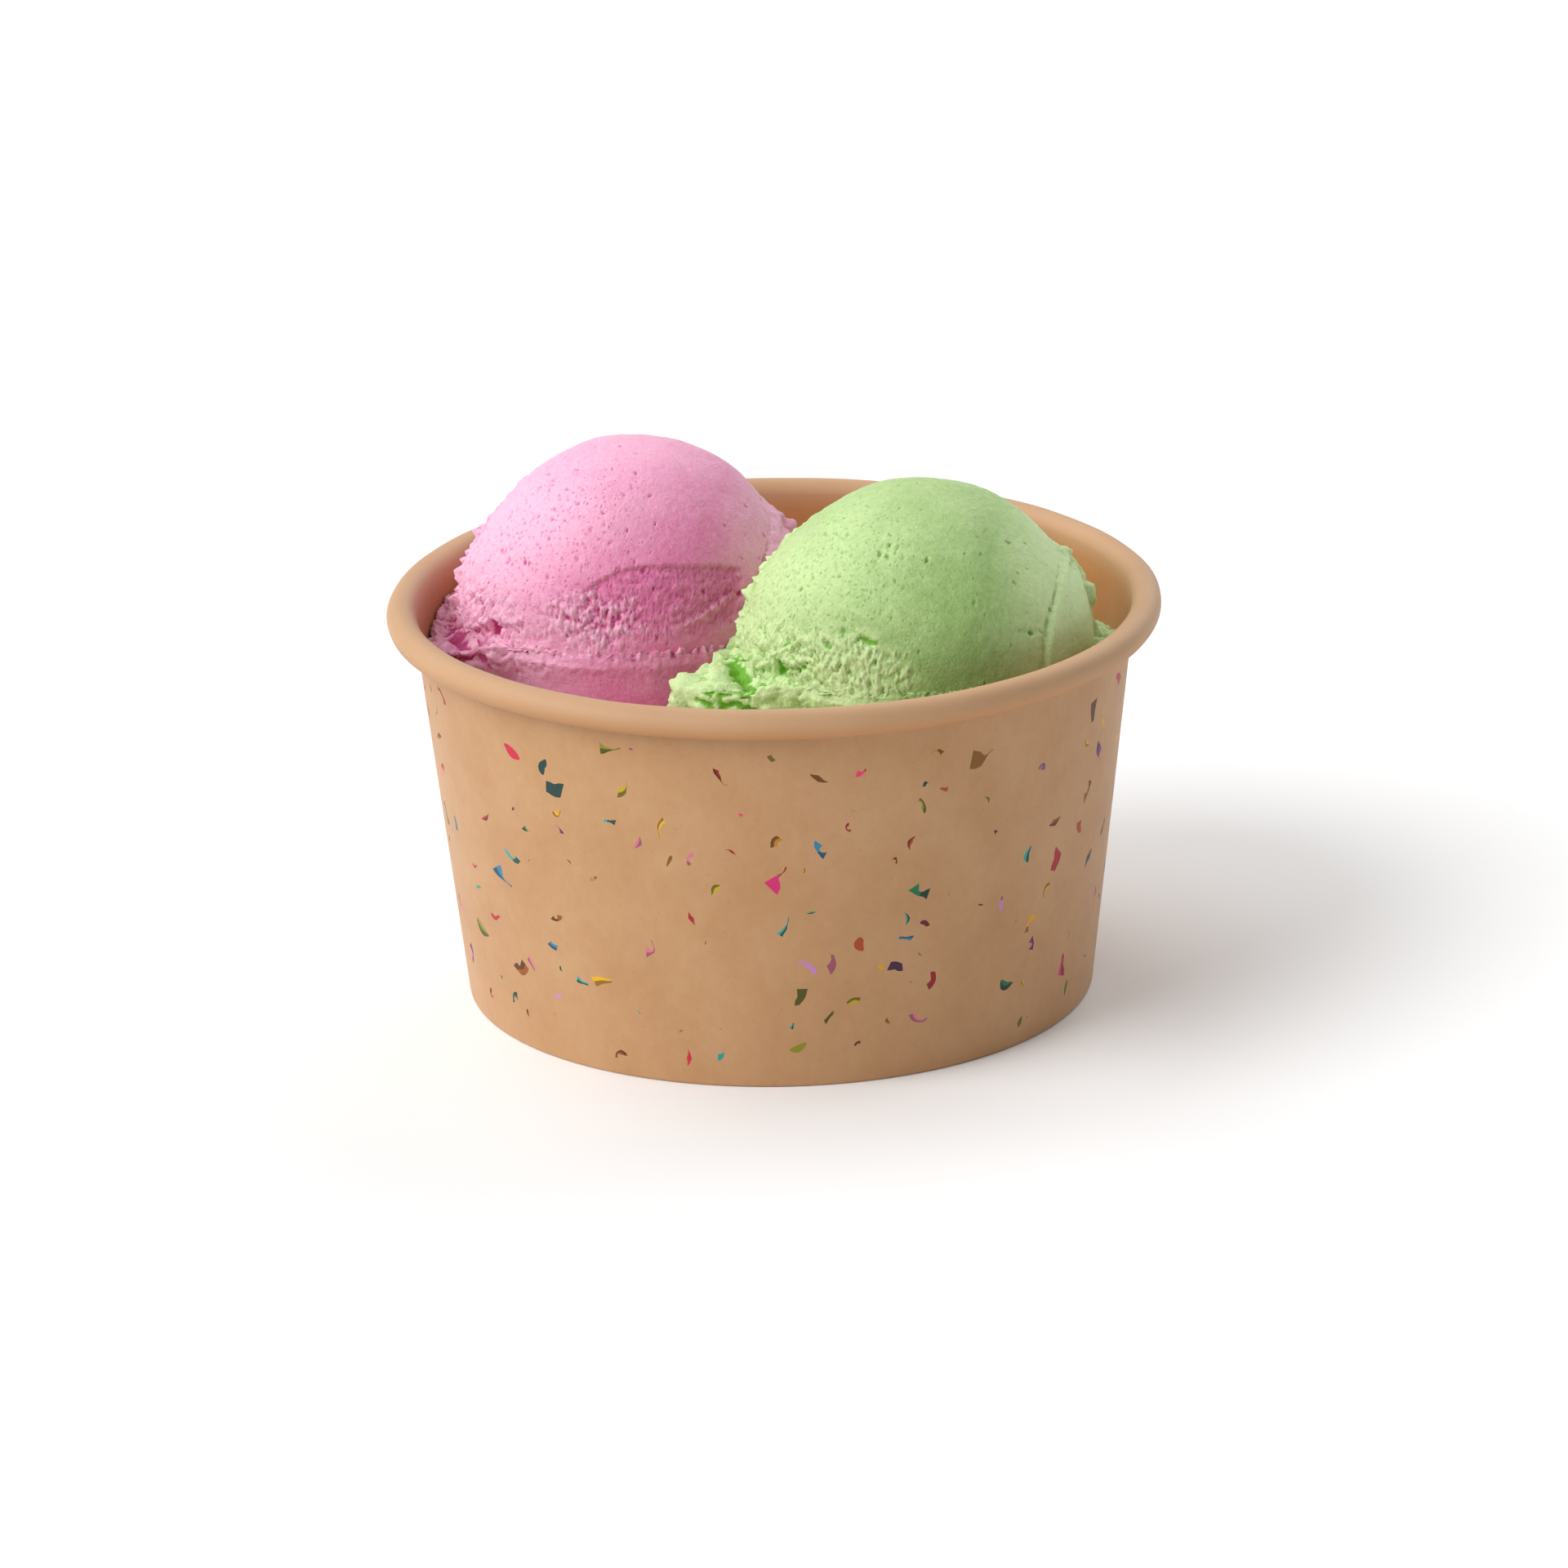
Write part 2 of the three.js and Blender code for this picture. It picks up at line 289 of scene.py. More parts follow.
flakes, taken = [], []
for count, shortest, longest in FLAKE_COUNTS:
    thrown = 0
    while thrown < count:
        size = rng.uniform(shortest, longest)
        place = np.array([
            rng.uniform(4, flat_length - 4), rng.uniform(print_low + 1.5, print_high - 1)])
        room = [np.hypot(*(place - t[:2])) - t[2] - size / 2 for t in taken]
        margin = min(place[1] - print_low, print_high - place[1]) - size / 2
        crowded = room and min(room) < BARE_BY_FLAKE
        if near_seam(place[0]) < BARE_BY_SEAM or margin < BARE_BY_EDGE or crowded:
            continue
        kind = KINDS[rng.integers(len(KINDS))]
        turn = rng.uniform(0, 2 * np.pi)
        matrix = size * np.array([[np.cos(turn), -np.sin(turn)], [np.sin(turn), np.cos(turn)]])
        tones = INKS[rng.integers(BRIGHT_INKS if size > LARGE_FLAKE else len(INKS))]
        stations = 8 if size > 1.8 else 5 if size > 0.9 else 3
        for corners, tone in streamer(kind, stations):
            placed = anticlockwise(np.array(corners) @ matrix.T + place)
            if area_of(placed) > SMALLEST_AREA:
                flakes.append((placed, tones[tone]))
        taken.append((*place, size / 2))
        thrown += 1
print(len(taken), "flakes in", len(flakes), "fields of colour")

# %% [markdown]
# ## The kraft board wall
# The wall is one fan-shaped blank: rolled to a cone, lapped at a side seam, curled over at the rim
# and folded in round the base's skirt at the foot. The printed stretch is cut into triangles that
# follow every flake's edge (a constrained Delaunay triangulation of the flat blank), and then
# bent. The curl, the inside and the fold are a profile turned round the axis, and the two parts
# share their edge points, so the board is one closed shell.

# %% The columns and the lap
columns = 384
even = np.linspace(0, flat_length, columns, endpoint=False)
LAP, LAP_STEP, LAP_FADE, LAP_RISE = 6.5, 0.06, 7.5, 0.4
lap_columns = seam_place + np.array([0, LAP_STEP, LAP, LAP + LAP_STEP])
across_columns = np.unique(np.concatenate([even, lap_columns]))


def lap_outside(s):
    """Rise of the outer face: a sharp edge at the seam, level over the lap, and then a slope."""
    past = (s - seam_place) % flat_length
    return LAP_RISE * np.clip(past / LAP_STEP, 0, 1) * (1 - smooth_step(past, LAP, LAP + LAP_FADE))


def lap_inside(s):
    """Rise of the inner face: the same lap from the other side, with its sharp edge at the far end."""
    before = (seam_place + LAP + LAP_STEP - s) % flat_length
    return LAP_RISE * np.clip(before / LAP_STEP, 0, 1) * (1 - smooth_step(before, LAP, LAP + LAP_FADE))


def bend(s, r, z):
    """Flat length s and radius r to a point: the azimuth is s as a share of the whole turn, from the back."""
    azimuth = 2 * np.pi * s / flat_length - np.pi
    level = np.broadcast_to(z, np.shape(azimuth))
    return np.stack([r * np.sin(azimuth), -r * np.cos(azimuth), level], axis=-1)


# %% The printed stretch
ring_size = len(across_columns)
PRINT_ROWS, SAME_PLACE = 25, 1e-3
print_rows = np.linspace(print_low, print_high, PRINT_ROWS)
flat_s, flat_z = np.meshgrid(np.append(across_columns, flat_length), print_rows)
flat_points = [np.column_stack([flat_s.ravel(), flat_z.ravel()])]
loops, first = [], flat_s.size
for corners, _ in flakes:
    loops.append(list(range(first, first + len(corners))))
    flat_points.append(corners)
    first += len(corners)
flat_points = np.concatenate(flat_points)
cut = delaunay_2d_cdt([Vector(p) for p in flat_points], [], loops, 0, 1e-5, True)
cut_points = np.array([tuple(p) for p in cut[0]])
cut_faces = np.array(cut[2])
cut_inks = [flakes[ids[0]][1] if ids else None for ids in cut[5]]

# The last column is the first one again, so its points take the first column's numbers.
at_end = np.flatnonzero(cut_points[:, 0] > flat_length - SAME_PLACE)
at_start = np.flatnonzero(cut_points[:, 0] < SAME_PLACE)
at_end = at_end[np.argsort(cut_points[at_end, 1])]
at_start = at_start[np.argsort(cut_points[at_start, 1])]
renumber = np.arange(len(cut_points))
renumber[at_end] = at_start
kept = np.setdiff1d(np.arange(len(cut_points)), at_end)
compact = np.full(len(cut_points), -1)
compact[kept] = np.arange(len(kept))
cut_faces = compact[renumber[cut_faces]]
cut_points = cut_points[kept]
cut_s, cut_z = cut_points.T
printed = bend(cut_s, wall_radius(cut_z) + lap_outside(cut_s), cut_z)


def edge_ring(height):
    """Numbers of the printed stretch's edge points at a height, in their order round the wall."""
    found = np.flatnonzero(np.abs(cut_points[:, 1] - height) < SAME_PLACE)
    return found[np.argsort(cut_points[found, 0])]


print("printed stretch:", len(cut_faces), "triangles,", len(edge_ring(print_high)), "points round its edge")

# %% The curl, the inside and the foot
FLAP_HEIGHT, FOLD_RADIUS, ROLL_END = 6.3, 0.45, -138
fold_channel = gap + paper + gap


def flap_outer(z):
    """Radius of the folded flap's outside."""
    return wall_radius(z) - paper - fold_channel


outer_face = np.concatenate([
    line((wall_radius(print_high), print_high), (wall_radius(roll_height), roll_height), 3),
    arc(roll_centre, roll_height, roll_radius - paper, 180, ROLL_END, 36)[1:],
])
inner_face = np.concatenate([
    arc(roll_centre, roll_height, roll_radius, ROLL_END, 180, 44),
    line((wall_top_radius - paper, roll_height), (wall_radius(paper) - paper, paper), 30),
])
foot_face = np.concatenate([
    line((wall_radius(paper) - paper, paper), (flap_outer(paper), paper), 2),
    line((flap_outer(paper), paper), (flap_outer(FLAP_HEIGHT), FLAP_HEIGHT), 5),
    line((flap_outer(FLAP_HEIGHT), FLAP_HEIGHT), (flap_outer(FLAP_HEIGHT) - paper, FLAP_HEIGHT), 1),
    line((flap_outer(FLAP_HEIGHT) - paper, FLAP_HEIGHT), (flap_outer(FOLD_RADIUS) - paper, FOLD_RADIUS), 5),
    arc(flap_outer(FOLD_RADIUS) - paper + FOLD_RADIUS, FOLD_RADIUS, FOLD_RADIUS, 180, 270, 4)[1:],
    arc(wall_radius(FOLD_RADIUS) - FOLD_RADIUS, FOLD_RADIUS, FOLD_RADIUS, -90, 0, 5),
])
profile = np.concatenate([outer_face, inner_face, foot_face])
along = np.gradient(profile, axis=0)
facing = np.column_stack([along[:, 1], -along[:, 0]]) / np.linalg.norm(along, axis=1, keepdims=True)
on_outer = np.arange(len(profile)) < len(outer_face)
on_inner = (np.arange(len(profile)) < len(outer_face) + len(inner_face)) & ~on_outer
inner_share = on_inner * smooth_step(profile[:, 1], floor_height + 1, floor_height + 6)
rise = on_outer[:, None] * lap_outside(across_columns) + inner_share[:, None] * lap_inside(across_columns)
# A curling die never leaves a perfect ring: the curl swells and sags by a tenth of a millimetre.
turn_angle = 2 * np.pi * across_columns / flat_length
unevenness = (0.07 * np.sin(3 * turn_angle + 1) + 0.05 * np.sin(8 * turn_angle)
              + 0.03 * np.sin(21 * turn_angle))
near_curl = smooth_step(profile[:, 1], roll_height - 6, roll_height)[:, None]
swept_r = profile[:, :1] + facing[:, :1] * rise + near_curl * unevenness
swept_z = profile[:, 1:] + facing[:, 1:] * rise + near_curl * 0.6 * np.roll(unevenness, 40)
swept = bend(np.broadcast_to(across_columns, swept_r.shape), swept_r, swept_z).reshape(-1, 3)
grid = np.arange(len(swept)).reshape(swept_r.shape) + len(printed)
joined = np.vstack([edge_ring(print_high), grid, edge_ring(print_low)])
wall = make_piece("kraft_wall", np.vstack([printed, swept]), [cut_faces, ring_faces(joined)],
                  replaces=["cup_wall"])
# Painted shade: the inner face is painted darker and warmer below the curl, fading out towards the rim.
inside = on_inner * (1 - smooth_step(profile[:, 1], roll_height - 2.0, roll_height + 1.0))
# Painted sheen: the top of the curl is painted paler and greyer, as a sheen would light it.
painted_curl_sheen = (on_outer | on_inner) * smooth_step(profile[:, 1], roll_height - 3.5, roll_height - 1.0)
keep_values(wall, "painted_curl_sheen", np.concatenate([np.zeros(len(printed)), np.repeat(painted_curl_sheen, ring_size)]))
keep_values(wall, "inside", np.concatenate([np.zeros(len(printed)), np.repeat(inside, ring_size)]))

# %% [markdown]
# The ink's colour goes into a colour attribute on the face corners, with its alpha telling the
# material where there is ink. Corners of one triangle share one colour, so a flake's edge is as
# sharp as a printed one.

# %% Ink on the wall


def linear(hex_colour):
    """sRGB hex to linear red, green, blue and 1: each channel is undone by the sRGB curve."""
    channels = np.array([int(hex_colour[i:i + 2], 16) / 255 for i in (0, 2, 4)])
    straight = np.where(channels <= 0.04045, channels / 12.92, ((channels + 0.055) / 1.055) ** 2.4)
    return (*straight.tolist(), 1.0)


ink = np.zeros((len(wall.data.loops), 4), dtype=np.float32)
ink[:3 * len(cut_faces)] = np.repeat([linear(c) if c else (0, 0, 0, 0) for c in cut_inks], 3, axis=0)
ink_layer = wall.data.color_attributes.new(name="ink", type="FLOAT_COLOR", domain="CORNER")
ink_layer.data.foreach_set("color", ink.ravel())
print("inked corners:", int(ink[:, 3].sum()))

# %% [markdown]
# ## The base disc
# The base is a second piece of board: a disc whose edge is turned down as a skirt, with a shallow
# ring pressed into it that keeps it from drumming. It is a profile turned round the axis.

# %% The base
SKIRT_FOOT, PRESS_RADIUS, PRESS_WIDTH, PRESS_DEPTH = 0.8, 38.0, 1.6, 0.5
BASE_COLUMNS = 240


def pressed(r):
    """Fall of the disc at a radius: a cosine groove round the pressed ring."""
    return PRESS_DEPTH * (1 + np.cos(np.pi * np.clip((r - PRESS_RADIUS) / PRESS_WIDTH, -1, 1))) / 2


def skirt_outer(z):
    """Radius of the skirt's outside."""
    return wall_radius(z) - paper - gap


underside = floor_height - paper
disc_r = np.concatenate([np.linspace(2, 35, 12), np.linspace(36, 40, 13), [41.5, 43.5]])
corner_r = skirt_outer(underside) - paper
base_profile = np.concatenate([
    np.column_stack([disc_r, underside - pressed(disc_r)]),
    [(corner_r - 0.5, underside), (corner_r - 0.1, underside - 0.3)],
    line((corner_r, underside - 0.8), (skirt_outer(SKIRT_FOOT) - paper, SKIRT_FOOT), 4),
    line((skirt_outer(SKIRT_FOOT) - paper, SKIRT_FOOT), (skirt_outer(SKIRT_FOOT), SKIRT_FOOT), 1),
    line((skirt_outer(SKIRT_FOOT), SKIRT_FOOT), (skirt_outer(floor_height - 0.6), floor_height - 0.6), 4),
    [(skirt_outer(floor_height) - 0.25, floor_height - 0.1), (skirt_outer(floor_height) - 0.7, floor_height)],
    np.column_stack([disc_r, floor_height - pressed(disc_r)])[::-1],
])
base_s = np.linspace(0, flat_length, BASE_COLUMNS, endpoint=False)
base_s = np.broadcast_to(base_s, (len(base_profile), BASE_COLUMNS))
base_points = bend(base_s, base_profile[:, :1], base_profile[:, 1:])
base_grid = np.arange(base_points.size // 3).reshape(base_points.shape[:2])
poles = [(0, 0, underside), (0, 0, floor_height)]
count = base_grid.size
base = make_piece("kraft_base", np.vstack([base_points.reshape(-1, 3), poles]), [
    ring_faces(base_grid), fan_faces(base_grid[0], count, False), fan_faces(base_grid[-1], count + 1, True),
], replaces=["cup_base"])

# %% [markdown]
# ## Noise for food
# Gelato is uneven at every size, so its surfaces are moved by noise. Smooth noise blends random
# numbers kept on a lattice. Cell noise measures the way to the nearest of many scattered points,
# and gives curds and pores. Both are whole-array sums, so a hundred thousand points take a moment.

# %% Lattice and cell noise


def lattice(cell, seed):
    """Three repeatable numbers from 0 to 1 for each whole-number point.

    The point is mixed by large multipliers, cut to 32 bits, and read off ten bits at a time."""
    mixed = (cell @ np.array([374761393, 668265263, 1103515245]) + seed * 974711) & 0xFFFFFFFF
    mixed = ((mixed ^ (mixed >> 13)) * 1274126177) & 0xFFFFFFFF
    mixed = mixed ^ (mixed >> 16)
    return np.stack([(mixed >> shift & 1023) / 1023 for shift in (0, 10, 20)], axis=-1)


def noise(points, size, seed, octaves=1):
    """Gradient noise, about -1 to 1: random slopes on a lattice of the size in mm, blended by an eased cube.

    Each further octave is half as large and half as strong."""
    total, strength = 0.0, 1.7
    for octave in range(octaves):
        scaled = points / (size / 2 ** octave) + 1000.0
        cell = np.floor(scaled).astype(np.int64)
        part = scaled - cell
        eased = part ** 3 * (part * (6 * part - 15) + 10)
        for corner in np.ndindex(2, 2, 2):
            share = np.prod(np.where(corner, eased, 1 - eased), axis=-1)
            slope = 2 * lattice(cell + np.array(corner), seed + 17 * octave) - 1
            total = total + strength * share * ((part - corner) * slope).sum(axis=-1)
        strength /= 2
    return total


def cells(points, size, seed):
    """Distance to the nearest scattered point, in cells, and that point's own random number."""
    scaled = points / size + 1000.0
    cell = np.floor(scaled).astype(np.int64)
    nearest = np.full(len(points), 9.0)
    label = np.zeros(len(points))
    for step in np.ndindex(3, 3, 3):
        home = cell + np.array(step) - 1
        distance = np.linalg.norm(scaled - home - lattice(home, seed), axis=1)
        closer = distance < nearest
        nearest = np.where(closer, distance, nearest)
        label = np.where(closer, lattice(home, seed + 3)[:, 0], label)
    return nearest, label


def torn(points, size, seed):
    """Torn gelato, about -0.7 to 1: noise folded at zero gives creases, and turned over it gives thin ridges.

    Creases and ridges take turns over four sizes, each about half the one before."""
    warp = np.column_stack([noise(points, 1.2 * size, seed + k, 2) for k in (5, 6, 7)])
    warped = points + 0.4 * size * warp
    folds = 0.0
    for share, strength in ((1.0, 0.5), (0.6, -0.45), (0.36, 0.4), (0.22, -0.3)):
        swing = noise(warped, share * size, seed + int(100 * share))
        folds = folds + strength * (2.2 * np.abs(swing) ** 0.75 - 0.75)
    return folds


def box_blur(values, reach, wrap):
    """Mean over a square of (2 reach + 1) grid points, run along rows and then along columns."""
    for axis, closed in ((0, False), (1, wrap)):
        pads = [(0, 0), (0, 0)]
        pads[axis] = (reach, reach)
        padded = np.pad(values, pads, mode="wrap" if closed else "edge")
        size = values.shape[axis]
        parts = [np.take(padded, np.arange(k, k + size), axis=axis) for k in range(2 * reach + 1)]
        values = sum(parts) / len(parts)
    return values


# %% [markdown]
# ## The scoops' balls
# A scoop is pressed out of a round steel bowl. Its crown is smooth, with the pores of the air
# beaten into it. The bowl's rim cuts the ball along a great circle and leaves a toothed frill
# there. Lower down the gelato tears, and a collar is squeezed out round the bowl's edge. Each
# ball is a square grid pulled into a disc and wrapped over a sphere, so that its points lie a
# quarter of a millimetre apart everywhere, and every mark is a change of its radius.

# %% The ball's grid
BALL_GRID = 311
COVERED = 118.0


def ball_directions():
    """Unit directions of the grid: its square rings become rings of equal area, down to COVERED degrees."""
    u, v = np.meshgrid(np.linspace(-1, 1, BALL_GRID), np.linspace(-1, 1, BALL_GRID), indexing="ij")
    ring = np.maximum(np.abs(u), np.abs(v))
    safe = np.where(ring == 0, 1, ring)
    wide = np.abs(u) >= np.abs(v)
    by_u = np.pi / 4 * v / np.where(u == 0, 1, u)
    by_v = np.pi / 2 - np.pi / 4 * u / np.where(v == 0, 1, v)
    corner = np.where(wide, by_u, by_v)
    signed = np.where(wide, u, v) / safe
    from_crown = 2 * np.arcsin(np.sin(np.radians(COVERED) / 2) * ring)
    flat = np.sin(from_crown) * signed
    return np.stack([flat * np.cos(corner), flat * np.sin(corner), np.cos(from_crown)], axis=-1)


def ball_faces():
    """Quads of the square grid, and a fan that closes it underneath."""
    index = np.arange(BALL_GRID ** 2).reshape(BALL_GRID, BALL_GRID)
    low, high = index[:-1], index[1:]
    quads = np.stack([low[:, :-1], high[:, :-1], high[:, 1:], low[:, 1:]], axis=-1).reshape(-1, 4)
    edge = np.concatenate([index[:-1, 0], index[-1, :-1], index[:0:-1, -1], index[0, :0:-1]])
    return [quads, fan_faces(edge, BALL_GRID ** 2, False)]


# %% [markdown]
# The marks are placed by azimuth, from the front and positive to the right, and by latitude. One
# degree is 0.44 mm on the ball. The bowl's rim lay in a plane that leans back by about 20 degrees,
# so a point's distance from that plane places the frill and the outer lip.

# %% Marks of the spade and the bowl
DEGREE = np.radians(1) * scoop_radius
RIM_PLANE = np.array([0.03, -0.935, 0.352])
TOOTH = 1.75


def groove(across, width, depth):
    """A rounded cut: a bell turned inwards, as deep as is asked for."""
    return -depth * bell(across, width)


def spaded_shelf(azimuth, latitude, points):
    """A scrape of the spade: 0 outside it and 1 just under its curved upper edge, running out downwards."""
    from_peak = azimuth - 6
    bow = np.where(from_peak < 0, 0.0178, 0.0035) * from_peak ** 2
    edge = 30.5 - bow + 0.35 * noise(points, 1.2, 40, 2)
    below = (edge - latitude) * DEGREE
    inside = smooth_step(below, -0.1, 0.3) * (1 - 0.5 * smooth_step(below, 5.0, 11.0))
    ends = smooth_step(azimuth, -21, -10) * (1 - smooth_step(azimuth + 0.4 * (20 - latitude), 43, 50))
    return inside * ends * smooth_step(latitude, 3, 10)


def flap_in_shelf(azimuth, latitude, points):
    """A thin flap that rises to the right inside the scrape, with a sharp upper edge."""
    across = (latitude - 11 - 0.32 * (azimuth - 24)) * DEGREE + 0.5 * noise(points, 1.6, 43, 3)
    flap = crest(across, 0.2, 0.9)
    return flap * smooth_step(azimuth, 12, 22) * (1 - smooth_step(azimuth, 37, 43))


def frill(azimuth, latitude, past_rim, points):
    """Teeth along the bowl's rim on the left: a ridge, sharp behind, broken into points of uneven height."""
    along = latitude * DEGREE / TOOTH + 0.9 * noise(points, 3.0, 50, 2)
    teeth = (1 - np.abs(2 * (along - np.floor(along)) - 1)) ** 0.9
    height = np.maximum(0.1 + (1.05 + 1.1 * noise(points, 1.9, 51)) * teeth, 0) + 0.25 * torn(points, 1.0, 53)
    across = past_rim * scoop_radius + 0.3 * noise(points, 1.5, 52)
    ridge = crest(across, 0.8, 0.5)
    reach_up = smooth_step(latitude, -12, -4) * (1 - 0.65 * smooth_step(latitude, 24, 36))
    reach_up = reach_up * (1 - smooth_step(latitude, 44, 56))
    left = smooth_step(-azimuth, 60, 75) * smooth_step(azimuth, -165, -130)
    second = 0.5 * bell(across - 2.4, 0.5) * (1 - teeth) * (1 - smooth_step(latitude, 12, 24))
    return left * reach_up * (height * ridge + second - 0.35 * bell(across - 1.3, 0.6))


def outer_layer(azimuth, latitude, past_rim, points):
    """A second layer on the right: a rough crack runs down its front, and past it the ball steps outwards."""
    crack = 49 + 33 * (np.clip(latitude, 0, 40) / 30.6) ** 3
    across = (azimuth - crack) * DEGREE * np.cos(np.radians(latitude)) + 0.4 * noise(points, 2.4, 60, 3)
    top = 28 - 16 * smooth_step(azimuth, 92, 140) + 5 * noise(points, 3.0, 65, 3)
    tall = between(latitude, -6, 3, top - 4, top + 4)
    ragged = np.clip(0.7 + 1.1 * noise(points, 1.6, 61, 3), 0.0, 1.5)
    cut = groove(across, 0.55, 0.42) * ragged * tall
    step = 0.6 * smooth_step(across, 0.1, 1.4) * tall * (1 - smooth_step(azimuth, 120, 150))
    from_rim = past_rim * scoop_radius + 0.35 * noise(points, 1.8, 62, 2)
    right = between(azimuth, 60, 75, 130, 150)
    lips = bell(from_rim - 0.2, 0.6) + groove(from_rim - 1.9, 0.7, 0.55)
    lips = lips * right * tall * np.clip(0.7 + 1.1 * noise(points, 2.4, 63, 2), 0, 1.5)
    notch = groove((latitude - 25) * DEGREE + 0.3 * noise(points, 1.2, 64), 0.6, 0.8) * bump(azimuth, 99, 24)
    return cut + step + lips + notch


def small_crack(azimuth, latitude, points):
    """A short level crack on the right with a pit in it."""
    level = 17.4 - 0.26 * (azimuth - 39.6) + 0.8 * noise(points, 1.5, 70, 2)
    run = between(azimuth, 37, 41, 50, 54)
    pit = np.hypot((azimuth - 45) * DEGREE, (latitude - 15.6) * DEGREE)
    return groove((latitude - level) * DEGREE, 0.22, 0.22) * run + groove(pit, 0.42, 0.5)


def lower_break(azimuth, latitude, points):
    """Bottom left, a ragged flap's edge with the broken gelato set back below it."""
    edge = 8.3 + (azimuth + 40) * 0.31 + 1.6 * noise(points, 2.0, 80, 3)
    below = (edge - latitude) * DEGREE
    place = between(azimuth, -88, -80, -44, -34)
    set_back = -0.5 * smooth_step(below, 0.0, 0.4) * place
    lip = 0.3 * bell(below + 0.2, 0.4) * place * (0.8 + 0.6 * noise(points, 1.2, 81))
    return set_back + lip


def square_pit(azimuth, latitude, points):
    """A pit with four rough sides just under the flap: 1 at its bottom and 0 outside it."""
    wide = np.abs((azimuth + 54) * DEGREE) + 0.25 * noise(points, 1.2, 82)
    tall = np.abs((latitude - 2.2) * DEGREE) + 0.25 * noise(points, 1.2, 83)
    return 1 - smooth_step(np.maximum(wide, tall), 1.1, 1.65)


def pores(points, dense):
    """Burst air bubbles: small uneven pits, drawn out lengthwise, and more of them where dense is near 1."""
    warp = np.column_stack([noise(points, 0.9, seed, 2) for seed in (86, 87, 88)])
    drawn = (points + 0.22 * warp) * [1.0, 1.0, 0.66]
    depth = 0.0
    for size, seed, share, deep in ((1.2, 95, 0.7, 0.34), (1.8, 99, 0.3, 0.42)):
        nearest, label = cells(drawn, size, seed)
        pit = np.clip(1 - (nearest / (0.2 + 0.12 * label / share)) ** 2, 0, 1)
        depth = depth + deep * pit * (label < share * dense)
    return -depth


def tear_line(azimuth, latitude, points):
    """Cracks along the upper edge of the torn front, open in places and closed in others."""
    level = 18.5 + 2.2 * noise(points, 4.0, 74, 3) - 0.02 * (azimuth + 16) ** 2 / 4
    opened = smooth_step(noise(points, 2.6, 75), -0.1, 0.35)
    run = between(azimuth, -36, -28, -4, 3)
    return groove((latitude - level) * DEGREE, 0.3, 0.75) * opened * run


def ball_radius(scoop, azimuth, latitude):
    """The ball's radius: broad lumps, a flattened left shoulder, a full right one and a swelling below it."""
    slow = np.sin(np.radians(3 * azimuth + 40)) * np.cos(np.radians(2 * latitude))
    quick = np.sin(np.radians(7 * azimuth)) * np.sin(np.radians(5 * latitude + 20))
    flattened = 1.1 * bump(azimuth, -100, 80) * bump(latitude, 45, 42)
    full = 0.6 * bump(azimuth, 115, 75) * bump(latitude, 50, 40)
    lip = 1.3 * oval(azimuth, latitude, (100, 2), (42, 36))
    fade = np.cos(np.radians(latitude)) ** 2
    crown = scoop["crown"] * smooth_step(latitude, 20, 70)
    return scoop_radius + fade * (0.25 * slow + 0.15 * quick + lip) - flattened + full + crown


def torn_share(scoop, azimuth, latitude):
    """Where the gelato tore instead of sliding: low in front, at the foot on the left, behind the frill."""
    if scoop["shelf"]:
        front = bump(azimuth, -12, 32) * bump(latitude, 12, 17)
    else:
        front = bump(azimuth, -28, 42) * bump(latitude, 8, 20)
    low_left = bump(azimuth, -62, 46) * bump(latitude, 0, 30)
    behind = bump(azimuth, -150, 50) * bump(latitude, 5, 45)
    return (scoop["torn"] * smooth_step(front, 0.0, 0.8), smooth_step(low_left, 0.05, 0.8), behind)


